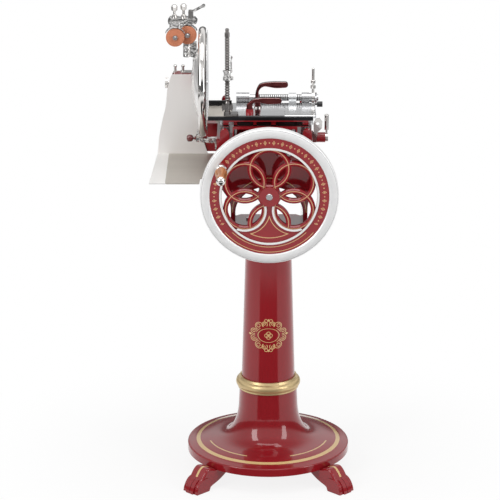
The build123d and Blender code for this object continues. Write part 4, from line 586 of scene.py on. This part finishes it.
# painted highlight: the upward faces of the handles are painted pale
reflection_nickel.set(Base_Color=reflection_nickel.mix(reflection_nickel.facing(2) > 0.80, reflection_nickel.mix(reflection_nickel.noise(40.0), REFLECTION_DARK_RED, REFLECTION_PALE_RED),
                               (0.42, 0.36, 0.35)))
for piece in ("press_handle_front", "press_handle_back"):
    wear(piece, reflection_nickel)
pillars = enamel("handle_pillars_enamel")
pillar_x, pillar_y, pillar_z = pillars.place()
plated = pillar_y > BETWEEN_PILLARS
pillar_red = pillars.mix(pillars.noise(30.0), RED, RED_PALE)
pillars.set(Base_Color=pillars.mix(plated, pillar_red, (0.45, 0.42, 0.41)), Metallic=plated,
            Roughness=SATIN - plated * 0.18, Coat_Weight=COAT - plated * COAT)
wear("handle_pillars", pillars)


# Feed screw. A steel bar with a thread cut over most of its length; the crests keep the steel's
# colour and the grooves are painted near black as painted shade.
THREAD_PITCH = 0.0065
THREAD_LEFT, THREAD_RIGHT = -0.045, 0.104


def thread():
    metal = Finish("screw_steel", Metallic=1.0)
    x, y, z = metal.place()
    rise = (x * (tau / THREAD_PITCH)).maths("SINE")
    threaded = (x > THREAD_LEFT) * (x < THREAD_RIGHT)
    bright = (rise.ramp(-0.35, 0.35) * threaded).either(1 - threaded)
    fine = metal.noise(260.0)
    crest = metal.mix(fine, (0.55, 0.55, 0.56), (0.74, 0.74, 0.75))
    # painted shade: the grooves of the thread are painted near black
    metal.set(Base_Color=metal.mix(bright, (0.10, 0.095, 0.09), crest), Roughness=fine * 0.12 + 0.16,
              Normal=metal.bumps(bright, 0.0012, 0.8))
    return metal


wear("feed_screw", thread())


# Blade. A round disc of steel, ground while it turns, which leaves very fine rings on its
# faces. It is screwed to the flange of its shaft.
BLADE_Y = 0.020
BLADE_Z = 1.252


def turned_disc():
    metal = Finish("blade_steel", Metallic=1.0)
    x, y, z = metal.place()
    rings = (distance(y - BLADE_Y, z - BLADE_Z) * 3600.0).maths("SINE")
    cloud = metal.noise(20.0)
    metal.set(Base_Color=metal.mix(cloud, (0.78, 0.78, 0.79), (0.9, 0.9, 0.9)),
              Normal=metal.bumps(rings, 0.00003, 0.2), Roughness=cloud * 0.08 + 0.12)
    return metal


wear("blade", turned_disc())


# Tray, deflector and table. Bent and flat steel sheets with the faint straight marks of the
# polishing wheel. The tray's wall under the deflector is painted darker than its flange, as painted shade.
TRAY_BEND_TOP = -0.361
TRAY_BEND_SHIFT = 0.054
sheet = steel("polished_sheet", (0.88, 0.87, 0.85), (0.82, 0.81, 0.79), 0.4, 12.0, (1, 0.15, 1), 0.04, 0.4)
tray_low, tray_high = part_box("slice_tray")
tray_x, tray_y, tray_z = sheet.place()
tray_down = (tray_high.z - tray_z) / (tray_high.z - tray_low.z)
tray_bend = tray_down.maths("MAXIMUM", 0.0) ** 1.5 * TRAY_BEND_SHIFT
tray_wall = (tray_x - tray_bend) > TRAY_BEND_TOP
tray_cloud = sheet.noise(14.0, 3.0, stretch=(0.2, 1, 1))
# painted shade: the tray's wall under the deflector is painted darker than the same steel of its flange
sheet.set(Base_Color=sheet.mix(tray_wall, (0.82, 0.81, 0.79),
                               sheet.mix(tray_cloud, (0.40, 0.37, 0.33), (0.52, 0.49, 0.44))))
wear("slice_tray", sheet)
wear("deflector_plate", steel("deflector_sheet", (0.90, 0.88, 0.86), (0.84, 0.82, 0.80), 0.45, 10.0,
                              (1, 1, 0.2), 0.04, 0.3))
wear("meat_table", steel("table_sheet", (0.86, 0.87, 0.88), (0.78, 0.79, 0.80), 0.14, 14.0,
                         (0.2, 1, 1), 0.05))


# Crank grip. Turned from orange-brown wood with a thin glossy finish; the grain runs along
# the handle. It turns on the crank pin under a metal cap.
wood = Finish("turned_wood", Coat_Weight=0.35, Coat_Roughness=0.15)
grain = wood.noise(90.0, 5.0, 0.6, (1, 0.08, 1))
pores = wood.noise(900.0, 2.0, 0.5, (1, 0.06, 1))
wood_tones = [(0.30, (0.20, 0.065, 0.018)), (0.50, (0.42, 0.155, 0.045)), (0.72, (0.58, 0.26, 0.085))]
wood.set(Base_Color=wood.node("ValToRGB", {"stops": wood_tones}, Fac=grain),
         Roughness=pores * 0.2 + 0.34, Normal=wood.bumps(pores, 0.0002, 0.25))
wear("crank_grip", wood)


# Sharpening stones. Two discs of bonded reddish grit, rough all over, each on a spindle of
# its own.
grit = Finish("bonded_grit", Roughness=0.92)
speckle = grit.noise(1400.0, 2.0, 0.7)
grit_tones = [(0.35, (0.36, 0.11, 0.05)), (0.55, (0.60, 0.22, 0.12)), (0.75, (0.75, 0.36, 0.22))]
grit.set(Base_Color=grit.node("ValToRGB", {"stops": grit_tones}, Fac=speckle),
         Normal=grit.bumps(speckle, 0.0004, 0.5))
for side in ("left", "right"):
    wear(f"sharpening_stone_{side}", grit)


# Knobs. The clamp knob is moulded in black; the ball on the guard's bracket is dark red and
# polished.
moulded = Finish("moulded_black", Coat_Weight=0.3)
mould = moulded.noise(160.0)
moulded.set(Base_Color=moulded.mix(mould, (0.012, 0.012, 0.013), (0.03, 0.03, 0.032)),
            Roughness=mould * 0.2 + 0.3)
wear("clamp_knob", moulded)
ball = Finish("dark_red_ball", Coat_Weight=1.0)
swirl = ball.noise(60.0)
ball.set(Base_Color=ball.mix(swirl, (0.10, 0.006, 0.008), (0.16, 0.012, 0.014)),
         Roughness=swirl * 0.1 + 0.2)
wear("guard_knob", ball)
